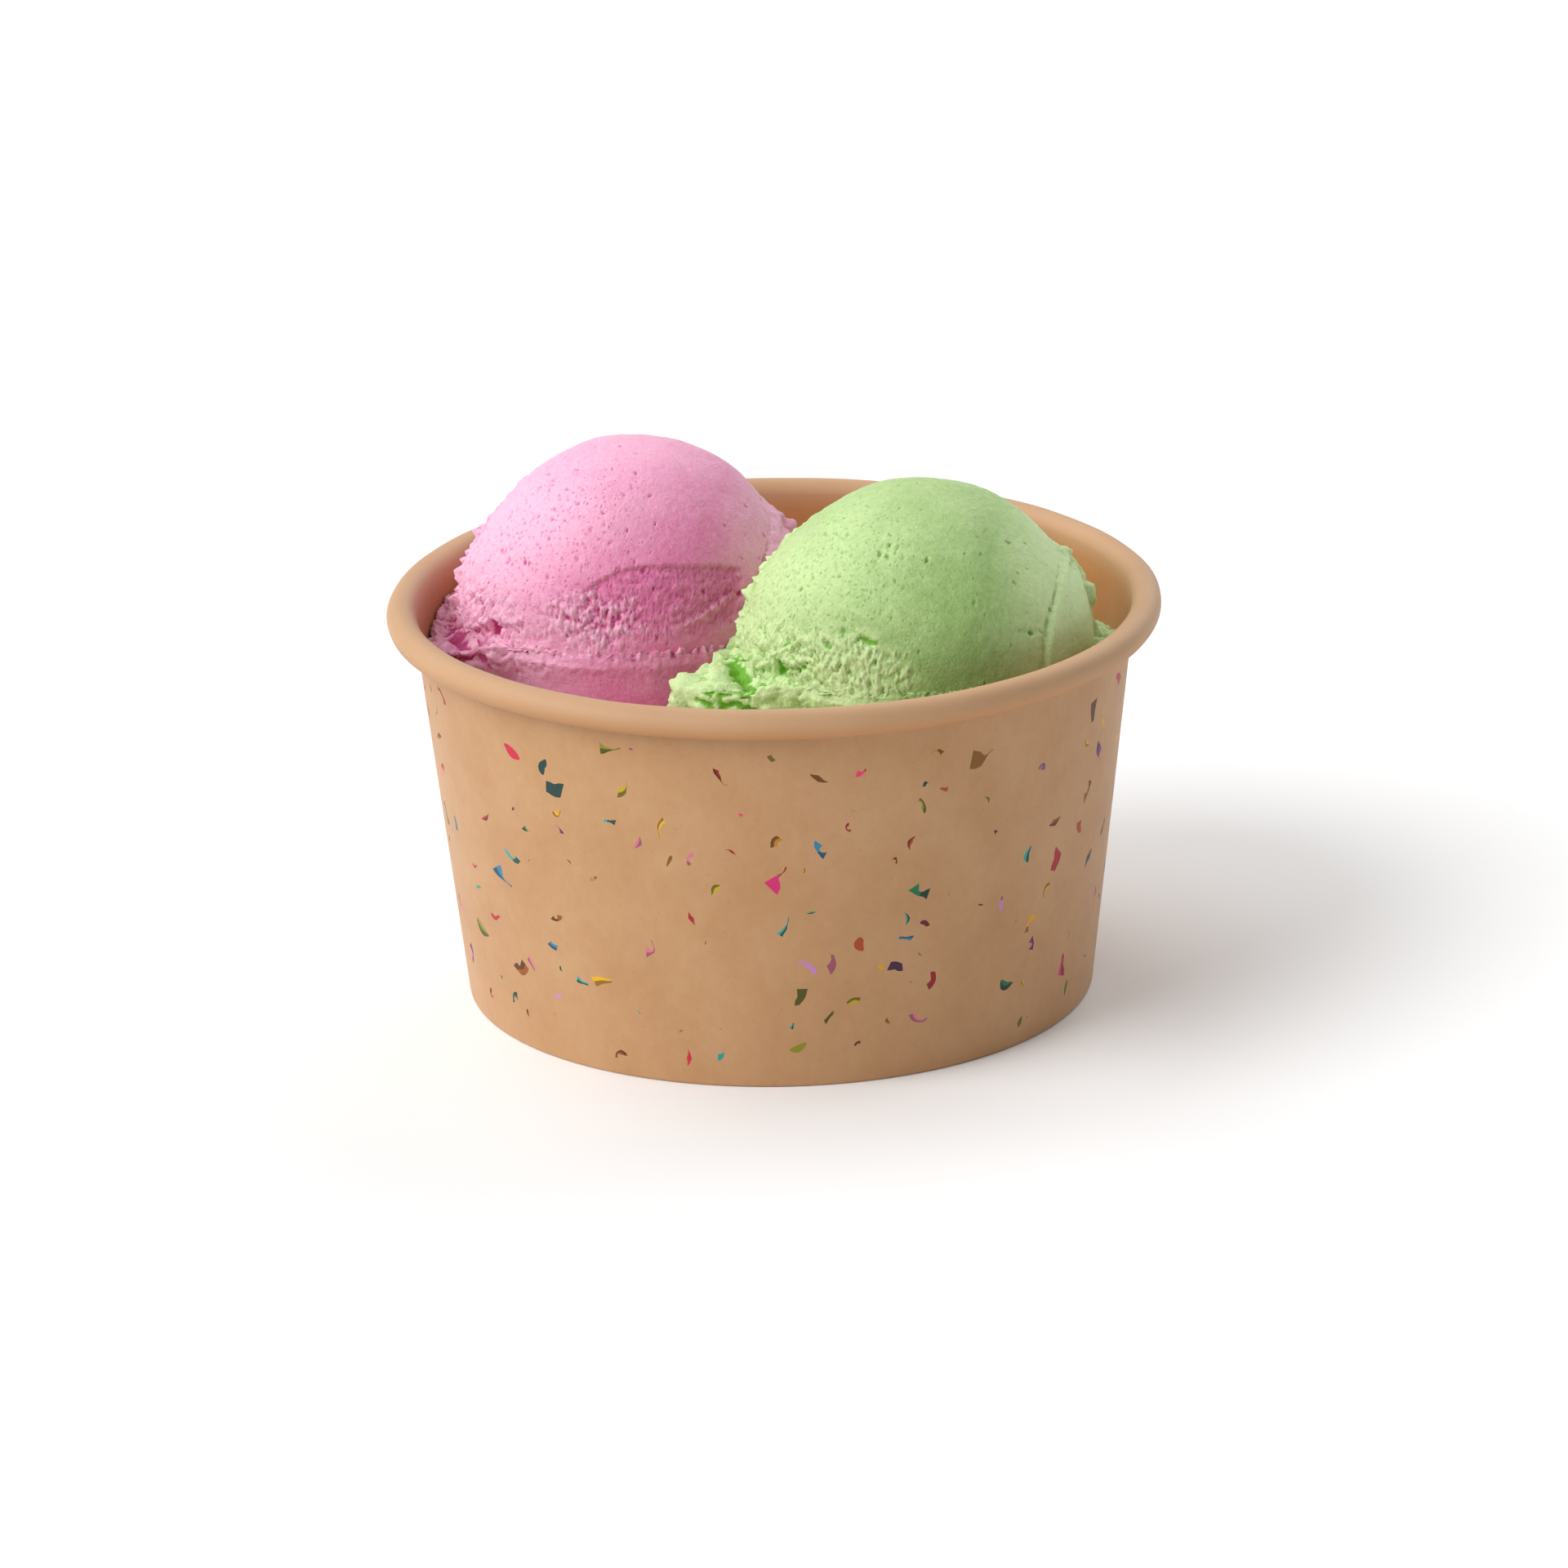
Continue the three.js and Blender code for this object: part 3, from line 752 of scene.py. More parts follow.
def ball_height(scoop, directions):
    """Every mark added up, in each direction.

    Gives the radius, the fine relief alone, how broken the skin is, where the spade scraped it, and
    how dense its pores are."""
    x, y, z = directions.T
    azimuth = np.degrees(np.arctan2(x, -y))
    latitude = np.degrees(np.arcsin(np.clip(z, -1, 1)))
    points = directions * scoop_radius + scoop["centre"][0] * 7
    past_rim = directions @ RIM_PLANE / np.linalg.norm(RIM_PLANE)

    wander = 9 * noise(points, 5.0, 110, 2)
    front, low_left, behind = torn_share(scoop, azimuth + wander, latitude + 0.6 * wander)
    pit = square_pit(azimuth, latitude, points)
    low_left = low_left * (1 - pit)
    rough = np.clip(front + low_left + behind, 0, 1)
    left = bump(azimuth, -80, 66) * bump(latitude, 14, 46)
    upper_left = bump(azimuth, -42, 74) * bump(latitude, 42, 46)
    dense = np.clip(0.22 + 1.1 * np.maximum(upper_left, 0.9 * left), 0, 1) * (1 - 0.3 * rough)
    shelf = spaded_shelf(azimuth, latitude, points) if scoop["shelf"] else 0 * azimuth

    aside = 0.6 * wander * smooth_step(latitude, 3, 15)
    broad = ball_radius(scoop, azimuth + aside, latitude + aside) + 0.14 * noise(points, 9, 140)
    broad = broad - scoop["shelf"] * shelf
    broad = broad + outer_layer(azimuth, latitude, past_rim, points)
    fine = 0.05 * noise(points, 2.5, 141, 2) + 0.03 * noise(points, 0.8, 143)
    fine = fine + frill(azimuth, latitude, past_rim, points) + lower_break(azimuth, latitude, points)
    fine = fine + small_crack(azimuth, latitude, points) - 1.7 * pit
    if scoop["shelf"]:
        fine = fine + 0.32 * flap_in_shelf(azimuth, latitude, points)
        scraped = 0.1 * noise(points * [0.3, 0.3, 1.1], 0.8, 41, 3) + 0.17 * torn(points, 1.1, 45)
        fine = fine + smooth_step(shelf, 0, 0.3) * scraped
    else:
        fine = fine + tear_line(azimuth, latitude, points)
    fine = fine + (0.58 * front + 0.6 * low_left + 0.25 * behind) * torn(points, 2.1, 100)
    fine = fine + 0.12 * left * torn(points * [1.0, 1.0, 0.55], 2.1, 130) + pores(points, dense)
    tuck = 1 - 0.14 * smooth_step(-latitude, 4, 12)
    broken = np.clip(rough + 0.6 * left + 0.4 * upper_left, 0, 1) * (1 - 0.3 * shelf)
    return (broad + fine) * tuck, fine, broken, shelf, dense


def painted_light_share(scoop, directions):
    """Painted light: how much paler the skin is painted, as if lit, most on the crown, the right flank and
    the left of the foot.
    """
    across, _, up = directions.T
    on_crown, on_flank, on_foot, on_left = scoop["dry"]
    crown = on_crown * smooth_step(directions @ np.array([-0.5, 0.28, 0.82]), -0.2, 0.95)
    flank = on_flank * smooth_step(across, 0.35, 0.85)
    foot = on_foot * (1 - smooth_step(across, 0.1, 0.5)) + on_left * smooth_step(-across, 0.05, 0.35)
    return np.maximum(np.maximum(crown, flank), foot * (1 - smooth_step(up, 0.05, 0.45)))


def make_ball(scoop, name):
    """The ball of one scoop, and what its material reads.

    That is "cavity" in millimetres, and "broken", "frost" and "pored" from 0 to 1."""
    directions = ball_directions().reshape(-1, 3)
    radius, relief, broken, shelf, dense = ball_height(scoop, directions)
    points = scoop["centre"] + directions * radius[:, None]
    pole = scoop["centre"] - [0, 0, scoop_radius * 0.8]
    piece = make_piece(name, np.vstack([points, pole]), ball_faces(), replaces=[scoop["node"]])
    relief = relief.reshape(BALL_GRID, BALL_GRID)
    # Painted shade and highlight: hollows get a deeper colour and raised points a paler one, and the spade's
    # scrape is painted a little deeper all over.
    cavity = (box_blur(relief, 5, False) - relief).ravel() + 0.07 * shelf
    # Painted light: the crown, the right flank and the foot are painted paler as if lit, and the scrape keeps
    # the darker body colour.
    painted_light = painted_light_share(scoop, directions) * (1 - shelf)
    pored = np.clip(dense + 0.35 * shelf, 0, 1)
    for key, values in (("cavity", cavity), ("broken", broken), ("painted_light", painted_light), ("pored", pored)):
        keep_values(piece, key, np.append(values, 0))
    print("  relief from", round(float(relief.min()), 2), "to", round(float(relief.max()), 2), "mm")
    return piece


pink_ball = make_ball(PINK, "pink_ball")
green_ball = make_ball(GREEN, "green_ball")

# %% [markdown]
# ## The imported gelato, the flange and the collar
# Below the balls the tub is packed level with both flavours, which meet in a gently bent face.
# Round each ball's equator the bowl squeezed out a flange: a tongue on the left, a curl on the
# right, and in front a thin collar with a ragged lip. One section, carried round the ball's
# axis, makes all of it: its points are functions of the azimuth, and where the tub's wall or the
# other flavour is in the way, it stops short of them.

# %% Where the gelato has room
SEAM_SWAY, SEAM_WAVELENGTH, SEAM_GAP = 2.2, 110.0, 0.04
seam_middle = (PINK["centre"] + GREEN["centre"])[:2] / 2
seam_normal = (GREEN["centre"] - PINK["centre"])[:2]
seam_normal = seam_normal / np.linalg.norm(seam_normal)


def past_seam(x, y):
    """Distance from the face between the flavours, positive on the green side."""
    across = (x - seam_middle[0]) * seam_normal[0] + (y - seam_middle[1]) * seam_normal[1]
    along = (y - seam_middle[1]) * seam_normal[0] - (x - seam_middle[0]) * seam_normal[1]
    smeared = 0.6 * np.sin(along / 2.9 + 1) + 0.4 * np.sin(along / 1.7) + 0.25 * np.sin(along / 0.8 + 2)
    return across - SEAM_SWAY * np.sin(2 * np.pi * along / SEAM_WAVELENGTH) - smeared


def reach(scoop, azimuth, z):
    """How far the gelato can go outwards from the ball's axis: 30 halvings between 0 and the rim's width."""
    near = np.zeros(np.broadcast(azimuth, z).shape)
    far = near + 2 * rim_radius
    for _ in range(30):
        middle = (near + far) / 2
        x = scoop["centre"][0] + middle * np.sin(azimuth)
        y = scoop["centre"][1] - middle * np.cos(azimuth)
        in_cup = (z > cup_height) | (np.hypot(x, y) < wall_radius(z) - paper - gap)
        fits = in_cup & (scoop["side"] * past_seam(x, y) > SEAM_GAP / 2)
        near = np.where(fits, middle, near)
        far = np.where(fits, far, middle)
    return near


# %% The section round the ball
BED_HEIGHT, BED_SWELL = 44.0, 0.7
SEAM_COLUMNS, WALL_COLUMNS = 230, 410


def section_azimuths(scoop):
    """Azimuths of the columns, with one on each corner where the seam meets the wall, so both stay sharp."""
    side = scoop["side"]
    towards = np.arctan2(-side * seam_normal[0], side * seam_normal[1])
    tries = towards + np.pi * np.arange(720) / 720 * np.array([[-1], [1]])
    start, corner = tries[[0, 1], reach(scoop, tries, BED_HEIGHT).argmax(axis=1)]
    return np.concatenate([
        np.linspace(start, corner, SEAM_COLUMNS, endpoint=False),
        np.linspace(corner, start + 2 * np.pi, WALL_COLUMNS, endpoint=False),
    ])


def bed_height(x, y):
    """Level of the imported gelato: slow swells a few millimetres across."""
    return BED_HEIGHT + BED_SWELL * (np.sin(x / 9 + 1) * np.cos(y / 11) + 0.5 * np.sin((x + y) / 5))


def flange_width(degrees, swell, ragged):
    """How far the flange stands out: the tongue, the curl, the back, and a thin ledge in front."""
    tongue = 11.5 * bump(degrees, -78, 42)
    curl_out = 4.2 * bump(degrees, 96, 26)
    back = 3.2 * bump(degrees, 175, 60)
    stands_out = tongue + curl_out + back
    return 0.7 + tongue + curl_out + back + 0.12 * swell + ragged * 0.07 * stands_out


def skirt_section(scoop, azimuth):
    """Rows of (distance from the ball's axis, height) for every azimuth, and where each stretch ends.

    The rows run from the floor's centre, up the wall and over the bed, out and back along the flange,
    over the lip, and end inside the ball."""
    degrees = np.degrees(azimuth)
    cx, cy, cz = scoop["centre"]
    floor = floor_height + gap
    rim_points = np.column_stack([np.sin(azimuth), -np.cos(azimuth), 0 * azimuth]) * scoop_radius + cx * 3
    swell = noise(rim_points, 3.2, 200)
    ragged = noise(rim_points, 2.6, 200, 3)
    fine = noise(rim_points, 1.1, 210, 3)
    width = flange_width(degrees, swell, ragged)
    root = ball_radius(scoop, degrees, 0.0)
    stout = smooth_step(width, 1.5, 5)

    def at(rho, z):
        rho, z = np.broadcast_arrays(rho + 0 * azimuth, z + 0 * azimuth)
        return np.stack([np.minimum(rho, reach(scoop, azimuth, z)), z])

    def bed(share_out):
        edge = reach(scoop, azimuth, BED_HEIGHT)
        rho = foot + (edge - 1.0 - foot) * share_out
        return at(rho, bed_height(cx + rho * np.sin(azimuth), cy - rho * np.cos(azimuth)))

    foot = np.minimum(root - 2.3, reach(scoop, azimuth, BED_HEIGHT) - 0.6)
    tip_fall = 0.021 * width ** 2
    lip_height = cz + 0.5 + 0.6 * ragged + 0.45 * np.maximum(fine, -0.3) - 1.8 * bump(degrees, -58, 26)
    lip_out = 0.1 + 0.35 * smooth_step(noise(rim_points, 5.0, 215, 2), -0.3, 0.4) + 0.12 * fine
    rows = [
        (1, at(0.4, floor)),
        (6, at(reach(scoop, azimuth, floor) - 1.0, floor)),
        (2, at(np.inf, floor + 1.0)),
        (10, at(np.inf, BED_HEIGHT - 1.5)),
        (3, bed(1.0)),
        (14, bed(0.5)),
        (14, bed(0.0)),
        (8, at(root - 0.9 - 0.6 * stout, cz - 8.0)),
        (8, at(root + width - 0.5, cz - tip_fall - 3.2 - 1.2 * stout)),
        (8, at(root + width, cz - tip_fall - 1.6)),
        (6, at(root + width - 0.25, cz - tip_fall * 0.8 - 0.2)),
        (20, at(root + 0.7 * lip_out + 0.2 + 0.6 * stout, lip_height - 0.8 + 0.1 * stout)),
        (8, at(root + lip_out, lip_height)),
        (4, at(root - 0.2, lip_height - 0.5)),
        (3, at(root - 3.0, cz - 1.5)),
    ]
    made = [rows[0][1][:, None]]
    for (_, before), (steps, after) in zip(rows, rows[1:]):
        share = (np.arange(steps) + 1)[None, :, None] / steps
        made.append(before[:, None] + share * (after - before)[:, None])
    counts = np.cumsum([1] + [steps for steps, _ in rows[1:]])
    return np.concatenate(made, axis=1), counts


# %% [markdown]
# The straight section is then rounded by averaging neighbouring rows, and roughened along its
# own outward direction. The flange and the lip get curds and clefts, the collar gets the fine
# upright ridges of the bowl's edge, and the bed gets the smears of the spatula.

# %% Build one skirt
# The section's stretches that are asked for by name, counted as skirt_section lists them.
FLOOR_EDGE, BED_EDGE, BED_FOOT, UNDERSIDE, TIP_BELOW, TIP, LIP, LIP_INSIDE = 1, 4, 6, 7, 8, 9, 12, 13


def make_skirt(scoop, name):
    """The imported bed, the flange and the collar of one scoop, and what its material reads.

    That is "cavity" in millimetres, and "broken" and "frost" from 0 to 1. Nothing on it is "pored"."""
    azimuth = section_azimuths(scoop)
    (rho, z), counts = skirt_section(scoop, azimuth)
    rows = rho.shape[0]
    number = np.arange(rows)[:, None]
    free = (number > counts[BED_EDGE]) & (number < rows - 2)
    for _ in range(3):
        for line_of in (rho, z):
            mean = (np.roll(line_of, 1, 0) + 2 * line_of + np.roll(line_of, -1, 0)) / 4
            line_of[:] = np.where(free, mean, line_of)

    cx, cy, cz = scoop["centre"]
    points = np.stack([cx + rho * np.sin(azimuth), cy - rho * np.cos(azimuth), z], axis=-1)
    flat = points.reshape(-1, 3) + cx * 5
    d_rho, d_z = np.gradient(rho, axis=0), np.gradient(z, axis=0)
    length = np.hypot(d_rho, d_z) + 1e-6
    degrees = np.degrees(azimuth)

    bed_from, bed_to = counts[BED_EDGE], counts[BED_FOOT]
    on_bed = between(number, bed_from, bed_from + 4, bed_to - 4, bed_to)
    on_flange = between(number, counts[UNDERSIDE], counts[TIP_BELOW], counts[LIP], counts[LIP_INSIDE])
    stout = np.maximum(smooth_step(flange_width(degrees, 0, 0), 1.5, 6), 0.75 * bump(degrees, -48, 36))
    curd = torn(flat, 3.6, 220).reshape(rho.shape)
    lumps = noise(flat, 4.5, 240, 2).reshape(rho.shape)
    fine = noise(flat, 0.9, 250, 2).reshape(rho.shape)
    ridges = noise(flat * [1.0, 1.0, 0.2], 0.7, 260, 3).reshape(rho.shape)
    smear = noise(flat * [0.35, 0.35, 1.0], 3.0, 270, 3).reshape(rho.shape)
    near_lip = smooth_step(z - cz, -1.4, 0.6)
    lower_lip = z - cz + 1.6 + 0.3 * lumps + 0.25 * fine
    ledge = 0.3 * crest(lower_lip, 0.15, 0.8) * bump(degrees, -40, 48)
    thick = 0.7 * curd + 0.6 * lumps
    thin = (0.06 + 0.26 * near_lip) * ridges + 0.06 * lumps + ledge
    relief = on_bed * (0.45 * smear + 0.25 * lumps)
    relief = relief + on_flange * (stout * thick + (1 - stout) * thin + 0.09 * fine)
    cleft = bump(degrees, -74, 26) * bell(rho - scoop_radius - 2.0, 1.5)
    crevice = bump(degrees + 5 * lumps, -58, 9)
    relief = relief - on_flange * (2.1 * cleft * (number > counts[TIP]) + 1.2 * crevice)

    rho = rho + relief * d_z / length
    z = z - relief * d_rho / length
    z = np.where(number > counts[FLOOR_EDGE], np.maximum(z, floor_height + gap), z)
    rho = np.minimum(rho, reach(scoop, np.broadcast_to(azimuth, rho.shape), z))
    points = np.stack([cx + rho * np.sin(azimuth), cy - rho * np.cos(azimuth), z], axis=-1)
    index = np.arange(rho.size).reshape(rho.shape)
    poles = [(cx, cy, floor_height + gap), (cx, cy, cz - 3.0)]
    faces = [ring_faces(index), fan_faces(index[0], rho.size, False),
             fan_faces(index[-1], rho.size + 1, True)]
    points = points.reshape(-1, 3)
    piece = make_piece(name, np.vstack([points, poles]), faces, replaces=[scoop["node"]])
    # Painted shade and highlight, as on the balls: weaker on the bed, and the cleft and the crevice are
    # painted deeper.
    cavity = (box_blur(relief, 4, True) - relief) * (1 - 0.6 * on_bed)
    cavity = cavity + on_flange * (0.5 * cleft + 0.4 * crevice)
    broken = np.clip(0.2 + stout + 0 * rho, 0, 1)
    # Painted light, as on the ball: the flange and the collar are painted paler where the ball's painted
    # light would be.
    painted_light = painted_light_share(scoop, (points - scoop["centre"]) / scoop_radius)
    for key, values in (("cavity", cavity), ("broken", broken), ("painted_light", painted_light)):
        keep_values(piece, key, np.append(values, [0, 0]))
    return piece


pink_skirt = make_skirt(PINK, "pink_packed")
green_skirt = make_skirt(GREEN, "green_packed")

# %% [markdown]
# ## Materials
# One function adds a node with its own settings, and fills each of its sockets with a value or
# with a link. It hands back one output socket, ready to be linked from. Patterns read Object
# coordinates, in metres, so a pattern's scale is one over its real size: a noise of size s
# millimetres has a scale of 1000 / s.

# %% The one node helper
MIX_COLOURS = {"data_type": "RGBA"}
MULTIPLY_ADD = {"operation": "MULTIPLY_ADD"}
# A Mix node set to colours takes them in sockets 6 and 7, and gives its result in output 2.
UNDER, OVER, MIXED = 6, 7, 2


def add_node(tree, kind, settings=None, inputs=None, out=0):
    """Adds a shader node and hands back one of its outputs, by its name or its number.

    `inputs` gives each named or numbered socket a value, or the socket that it links from."""
    made = tree.nodes.new("ShaderNode" + kind)
    for key, value in (settings or {}).items():
        setattr(made, key, value)
    for key, value in (inputs or {}).items():
        if isinstance(value, bpy.types.NodeSocket):
            tree.links.new(value, made.inputs[key])
        else:
            made.inputs[key].default_value = value
    return made.outputs[out] if made.outputs else made


def per_mm(size):
    """The scale of a pattern whose features are a size in millimetres."""
    return 1000.0 / size


def start_material(name):
    """An empty node tree, and the Object coordinates that its patterns read."""
    material = bpy.data.materials.new(name)
    material.use_nodes = True
    tree = material.node_tree
    tree.nodes.clear()
    place = add_node(tree, "TexCoord", out="Object")
    return material, tree, place


def finish_material(tree, shader):
    """Links a shader to a new material output."""
    add_node(tree, "OutputMaterial", inputs={"Surface": shader})


# %% [markdown]
# ### Kraft board
# Unbleached kraft is brown because its pulp keeps the wood's lignin. The sheet is pressed
# from fibres, so it is cloudy at the scale of a centimetre, flecked at the scale of a fibre, and
# very slightly rough. A thin clear coat keeps moisture out and gives the eye a soft, low sheen.

# %% Kraft board, printed
PALE_KRAFT, DARK_KRAFT, SHADED_KRAFT = "bf946a", "b6885c", "f4dcba"
CURL_SHEEN_KRAFT, FIBRE = "c29b77", "8a6038"


def kraft_board(name, printed_with=None):
    """Cloudy, fibrous board: two browns mixed by a slow and a fine noise, a painted sheen that makes the curl
    paler, painted shade that makes the inner face darker and warmer, and ink over them.
    """
    material, tree, place = start_material(name)
    cloud = add_node(tree, "TexNoise", inputs={"Vector": place, "Scale": per_mm(11), "Detail": 3.0})
    stretched = add_node(tree, "Mapping", inputs={"Vector": place, "Scale": (1.0, 1.0, 0.75)})
    grain = add_node(tree, "TexNoise", inputs={
        "Vector": stretched, "Scale": per_mm(1.6), "Detail": 4.0, "Roughness": 0.7})
    fleck = add_node(tree, "TexNoise", inputs={"Vector": place, "Scale": per_mm(0.5), "Detail": 2.0})
    fine_part = add_node(tree, "Math", {"operation": "MULTIPLY"}, {0: grain, 1: 0.38})
    both = add_node(tree, "Math", MULTIPLY_ADD, {0: cloud, 1: 0.62, 2: fine_part})
    share = add_node(tree, "MapRange", inputs={"Value": both, "From Min": 0.36, "From Max": 0.64})
    board = add_node(tree, "Mix", MIX_COLOURS, {
        "Factor": share, UNDER: linear(DARK_KRAFT), OVER: linear(PALE_KRAFT)}, MIXED)
    fleck_share = add_node(tree, "MapRange", inputs={
        "Value": fleck, "From Min": 0.66, "From Max": 0.78, "To Max": 0.3})
    flecked = add_node(tree, "Mix", MIX_COLOURS, {
        "Factor": fleck_share, UNDER: board, OVER: linear(FIBRE)}, MIXED)
    # Painted sheen: the curl's top is mixed towards a paler brown.
    painted_curl_sheen = add_node(tree, "Attribute", {"attribute_name": "painted_curl_sheen"}, out="Fac")
    painted_curl_sheen_share = add_node(tree, "Math", {"operation": "MULTIPLY"}, {0: painted_curl_sheen, 1: 0.65})
    paler = add_node(tree, "Mix", MIX_COLOURS, {
        "Factor": painted_curl_sheen_share, UNDER: flecked, OVER: linear(CURL_SHEEN_KRAFT)}, MIXED)
    # Painted shade: the inner face is multiplied by a darker, warmer brown.
    inside = add_node(tree, "Attribute", {"attribute_name": "inside"}, out="Fac")
    colour = add_node(tree, "Mix", {**MIX_COLOURS, "blend_type": "MULTIPLY"}, {
        "Factor": inside, UNDER: paler, OVER: linear(SHADED_KRAFT)}, MIXED)
    if printed_with:
        ink_share = add_node(tree, "Attribute", {"attribute_name": printed_with}, out="Alpha")
        colour = add_node(tree, "Mix", MIX_COLOURS, {
            "Factor": ink_share, UNDER: colour, OVER: ink_share.node.outputs["Color"]}, MIXED)
    relief = add_node(tree, "Bump", inputs={"Height": grain, "Distance": 0.05 * MM, "Strength": 0.5})
    shader = add_node(tree, "BsdfPrincipled", inputs={
        "Base Color": colour, "Roughness": 0.58, "IOR": 1.48, "Specular IOR Level": 0.4,
        "Sheen Weight": 0.08, "Sheen Roughness": 0.5, "Normal": relief})
    finish_material(tree, shader)
    return material


wall.data.materials.append(kraft_board("Printed kraft board", "ink"))
base.data.materials.append(kraft_board("Plain kraft board"))

# %% [markdown]
# ### Gelato
# Gelato is fat, sugar, ice and air. Light goes a millimetre or two into it and comes out
# softened, so its shadows are tinted and never black. The "cavity" attribute, in millimetres, paints
# light and shade: a deeper colour in clefts, as painted shade and the colour that light takes on
# bouncing from wall to wall there, and a paler colour on raised crumbs, as a painted highlight. The
# skin is paler where it is torn ("broken"), and where the painted light makes the crown, the right
# flank and the foot paler as if lit. Where "pored" is high, the burst bubbles too fine for the mesh
# are wider, and their pits are painted in the deep colour as shade. The skin is matt with a moist
# glint.

# %% Milk gelato


def milk_gelato(name, raised, body, deep, glow):
    """Raised, body and deep colours laid along the cavity, as a painted highlight on raised points and
    painted shade in hollows and pores, the raised colour also where painted light is high, light scattered
    below the skin, and icy grain.
    """
    material, tree, place = start_material(name)
    cavity = add_node(tree, "Attribute", {"attribute_name": "cavity"}, out="Fac")
    broken = add_node(tree, "Attribute", {"attribute_name": "broken"}, out="Fac")
    crumbs = add_node(tree, "TexNoise", inputs={
        "Vector": place, "Scale": per_mm(0.45), "Detail": 4.0, "Roughness": 0.7})
    crumb_height = add_node(tree, "MapRange", inputs={
        "Value": crumbs, "From Min": 0.3, "From Max": 0.7, "To Min": 0.04, "To Max": -0.26})
    fine_cavity = add_node(tree, "Math", MULTIPLY_ADD, {0: crumb_height, 1: broken, 2: cavity})
    # Painted highlight and shade: raised points get the raised colour, hollows the deep one.
    paler = add_node(tree, "MapRange", inputs={"Value": fine_cavity, "From Min": 0.0, "From Max": -0.3})
    deeper = add_node(tree, "MapRange", inputs={
        "Value": fine_cavity, "From Min": 0.03, "From Max": 0.36})
    painted_light = add_node(tree, "Attribute", {"attribute_name": "painted_light"}, out="Fac")
    cloud = add_node(tree, "TexNoise", inputs={"Vector": place, "Scale": per_mm(7), "Detail": 3.0})
    # Torn skin is paler, and the painted light makes the crown, the right flank and the foot paler as if lit.
    dry = add_node(tree, "Math", MULTIPLY_ADD, {0: broken, 1: 0.5, 2: painted_light})
    mottle = add_node(tree, "TexNoise", inputs={
        "Vector": place, "Scale": per_mm(0.9), "Detail": 3.0, "Roughness": 0.65})
    uneven = add_node(tree, "Math", MULTIPLY_ADD, {0: mottle, 1: 1.4, 2: cloud})
    centred = add_node(tree, "Math", {"operation": "SUBTRACT"}, {0: uneven, 1: 1.2})
    soft = add_node(tree, "Math", {**MULTIPLY_ADD, "use_clamp": True}, {0: centred, 1: 0.5, 2: dry})
    cloudy = add_node(tree, "Mix", MIX_COLOURS, {
        "Factor": soft, UNDER: linear(body), OVER: linear(raised)}, MIXED)
    lifted = add_node(tree, "Mix", MIX_COLOURS, {
        "Factor": paler, UNDER: cloudy, OVER: linear(raised)}, MIXED)
    sunk = add_node(tree, "Mix", MIX_COLOURS, {
        "Factor": deeper, UNDER: lifted, OVER: linear(deep)}, MIXED)
    ice = add_node(tree, "TexNoise", inputs={
        "Vector": place, "Scale": per_mm(0.5), "Detail": 3.0, "Roughness": 0.75})
    pored = add_node(tree, "Attribute", {"attribute_name": "pored"}, out="Fac")
    swirl = add_node(tree, "TexNoise", inputs={
        "Vector": place, "Scale": per_mm(1.1), "Detail": 1.0}, out="Color")
    moved = add_node(tree, "VectorMath", MULTIPLY_ADD, {
        0: swirl, 1: (1.1 * MM, 1.1 * MM, 1.1 * MM), 2: place})
    drawn = add_node(tree, "Mapping", inputs={"Vector": moved, "Scale": (1.0, 1.0, 0.7)})
    bubbles = add_node(tree, "TexVoronoi", inputs={
        "Vector": drawn, "Scale": per_mm(0.75), "Randomness": 1.0}, out="Distance")
    widest = add_node(tree, "Math", MULTIPLY_ADD, {0: pored, 1: 0.27, 2: 0.09})
    pricks = add_node(tree, "MapRange", inputs={"Value": bubbles, "From Max": widest})
    # Painted shade: the pits of the fine bubbles get the deep colour.
    open_share = add_node(tree, "MapRange", inputs={"Value": pricks, "To Min": 0.75, "To Max": 0.0})
    filled = add_node(tree, "Mix", MIX_COLOURS, {
        "Factor": open_share, UNDER: sunk, OVER: linear(deep)}, MIXED)
    height = add_node(tree, "Math", MULTIPLY_ADD, {0: pricks, 1: 0.6, 2: ice})
    rougher = add_node(tree, "Math", MULTIPLY_ADD, {0: broken, 1: 0.1, 2: 0.6})
    relief = add_node(tree, "Bump", inputs={
        "Height": height, "Distance": 0.34 * MM, "Strength": rougher})
    shader = add_node(tree, "BsdfPrincipled", inputs={
        "Base Color": filled, "Roughness": 0.48, "IOR": 1.4, "Specular IOR Level": 0.35,
        "Subsurface Weight": 0.28, "Subsurface Radius": glow, "Subsurface Scale": 0.5 * MM,
        "Normal": relief})
    finish_material(tree, shader)
    return material


pink_finish = milk_gelato("Pink milk gelato", "f7bad5", "e680b0", "c8508a", (1.0, 0.35, 0.5))
green_finish = milk_gelato("Green milk gelato", "d1e8aa", "98b970", "76b438", (0.6, 1.0, 0.3))
for piece, finish in ((pink_ball, pink_finish), (pink_skirt, pink_finish),
                      (green_ball, green_finish), (green_skirt, green_finish)):
    piece.data.materials.append(finish)

# %% [markdown]
# ## The stage
# A plain pale floor, three soft windows and a white sky that fills the shadows. The strongest
# window is on the left, and the two weaker ones stand behind, one on each side. The camera stands
# well back with a long lens, 20 degrees above the table.

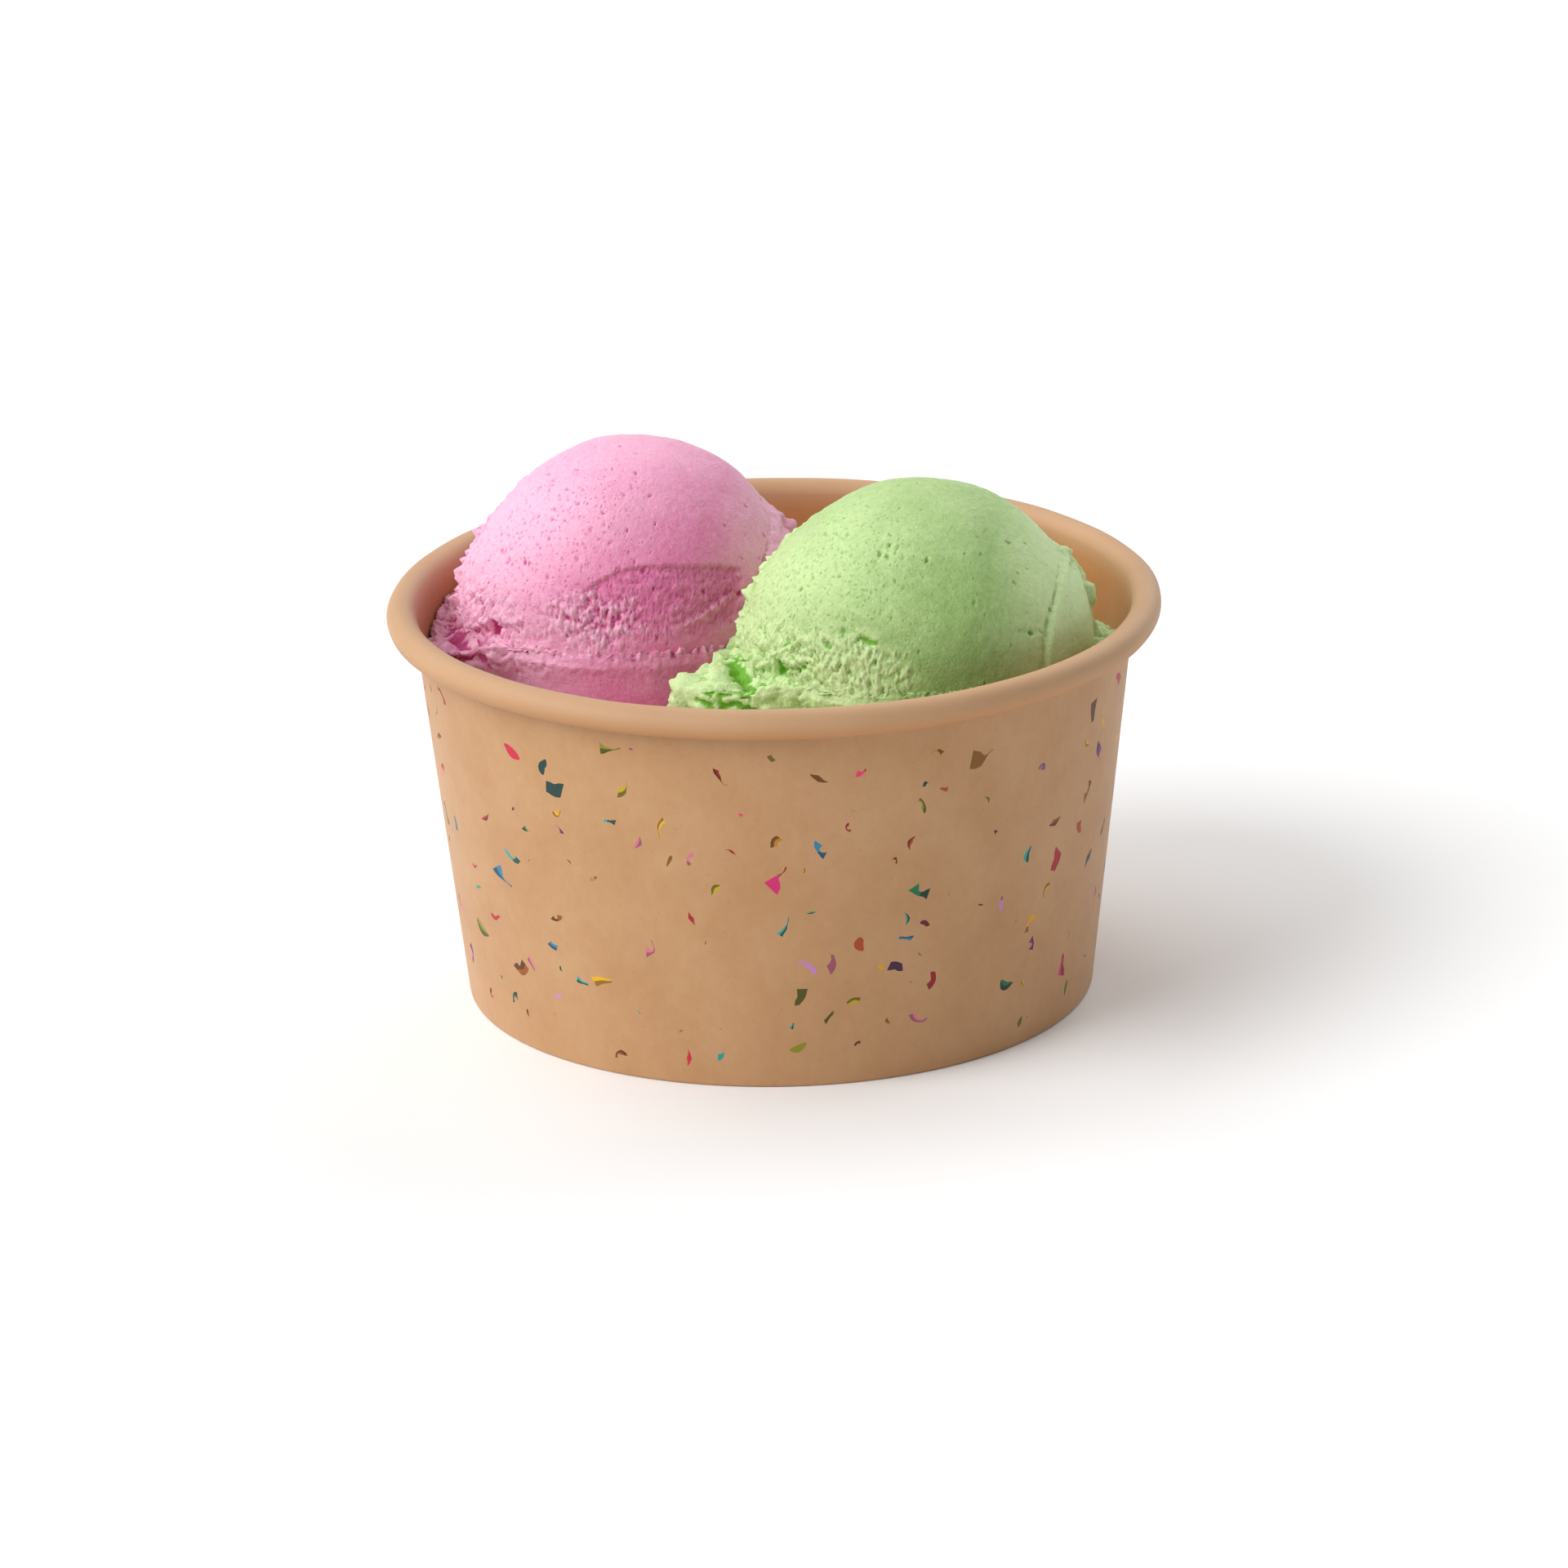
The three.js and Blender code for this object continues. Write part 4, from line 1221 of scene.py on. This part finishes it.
# %% The floor
FLOOR_SIZE = 3000.0
half = FLOOR_SIZE / 2
floor_corners = [(x * MM, y * MM, 0) for x, y in ((-half, -half), (half, -half), (half, half), (-half, half))]
floor_mesh = bpy.data.meshes.new("floor")
floor_mesh.from_pydata(floor_corners, [], [(0, 1, 2, 3)])
floor_piece = bpy.data.objects.new("floor", floor_mesh)
bpy.context.scene.collection.objects.link(floor_piece)
floor_finish, floor_tree, floor_place = start_material("White laminate")
floor_cloud = add_node(floor_tree, "TexNoise", inputs={"Vector": floor_place, "Scale": per_mm(60)})
floor_colour = add_node(floor_tree, "Mix", MIX_COLOURS, {
    "Factor": floor_cloud, UNDER: linear("f7f7f7"), OVER: linear("f9f9f9")}, MIXED)
finish_material(floor_tree, add_node(floor_tree, "BsdfPrincipled", inputs={
    "Base Color": floor_colour, "Roughness": 0.9, "Specular IOR Level": 0.1}))
floor_mesh.materials.append(floor_finish)

# %% The lights
# Each sun: its name, its azimuth from the front (positive to the right) and its height in degrees,
# its strength, and its width in degrees.
SUNS = [
    ("window behind left", -130, 48, 1.15, 55),
    ("window left", -62, 37, 2.4, 44),
    ("window behind right", 145, 32, 1.05, 50),
]
SKY_STRENGTH = 0.32


def add_sun(name, azimuth, height, energy, softness):
    """A distant light that shines from an azimuth and a height; the wider it is, the softer its shadows."""
    data = bpy.data.lights.new(name, "SUN")
    data.energy = energy
    data.angle = np.radians(softness)
    turn, up = np.radians(azimuth), np.radians(height)
    towards = Vector((np.sin(turn) * np.cos(up), -np.cos(turn) * np.cos(up), np.sin(up)))
    sun = bpy.data.objects.new(name, data)
    sun.rotation_euler = towards.to_track_quat("Z", "Y").to_euler()
    bpy.context.scene.collection.objects.link(sun)


for settings in SUNS:
    add_sun(*settings)
world = bpy.data.worlds.new("white sky")
world.use_nodes = True
sky = world.node_tree.nodes["Background"]
sky.inputs["Color"].default_value = (1, 1, 1, 1)
sky.inputs["Strength"].default_value = SKY_STRENGTH
bpy.context.scene.world = world
bpy.context.scene.view_settings.view_transform = "Standard"
print(len(SUNS), "suns, and a sky of strength", SKY_STRENGTH)

# %% The camera
CAMERA_DISTANCE, CAMERA_HEIGHT, CAMERA_ROLL = 1447.8, 20.41, 1.17
LENS, SENSOR_WIDTH, AIM_ASIDE = 220.8, 36.0, 0.97
camera_data = bpy.data.cameras.new("camera")
camera_data.sensor_width = SENSOR_WIDTH
camera_data.lens = LENS
camera = bpy.data.objects.new("camera", camera_data)
rise_angle = np.radians(CAMERA_HEIGHT)
camera.location = Vector((0, -np.cos(rise_angle), np.sin(rise_angle))) * CAMERA_DISTANCE * MM
aim = Vector((AIM_ASIDE * MM, 0, cup_height / 2 * MM))
look = (aim - camera.location).to_track_quat("-Z", "Y")
camera.rotation_euler = (look @ Quaternion((0, 0, 1), -np.radians(CAMERA_ROLL))).to_euler()
bpy.context.scene.collection.objects.link(camera)
bpy.context.scene.camera = camera
print("camera", round(camera.location.length / MM), "mm away")
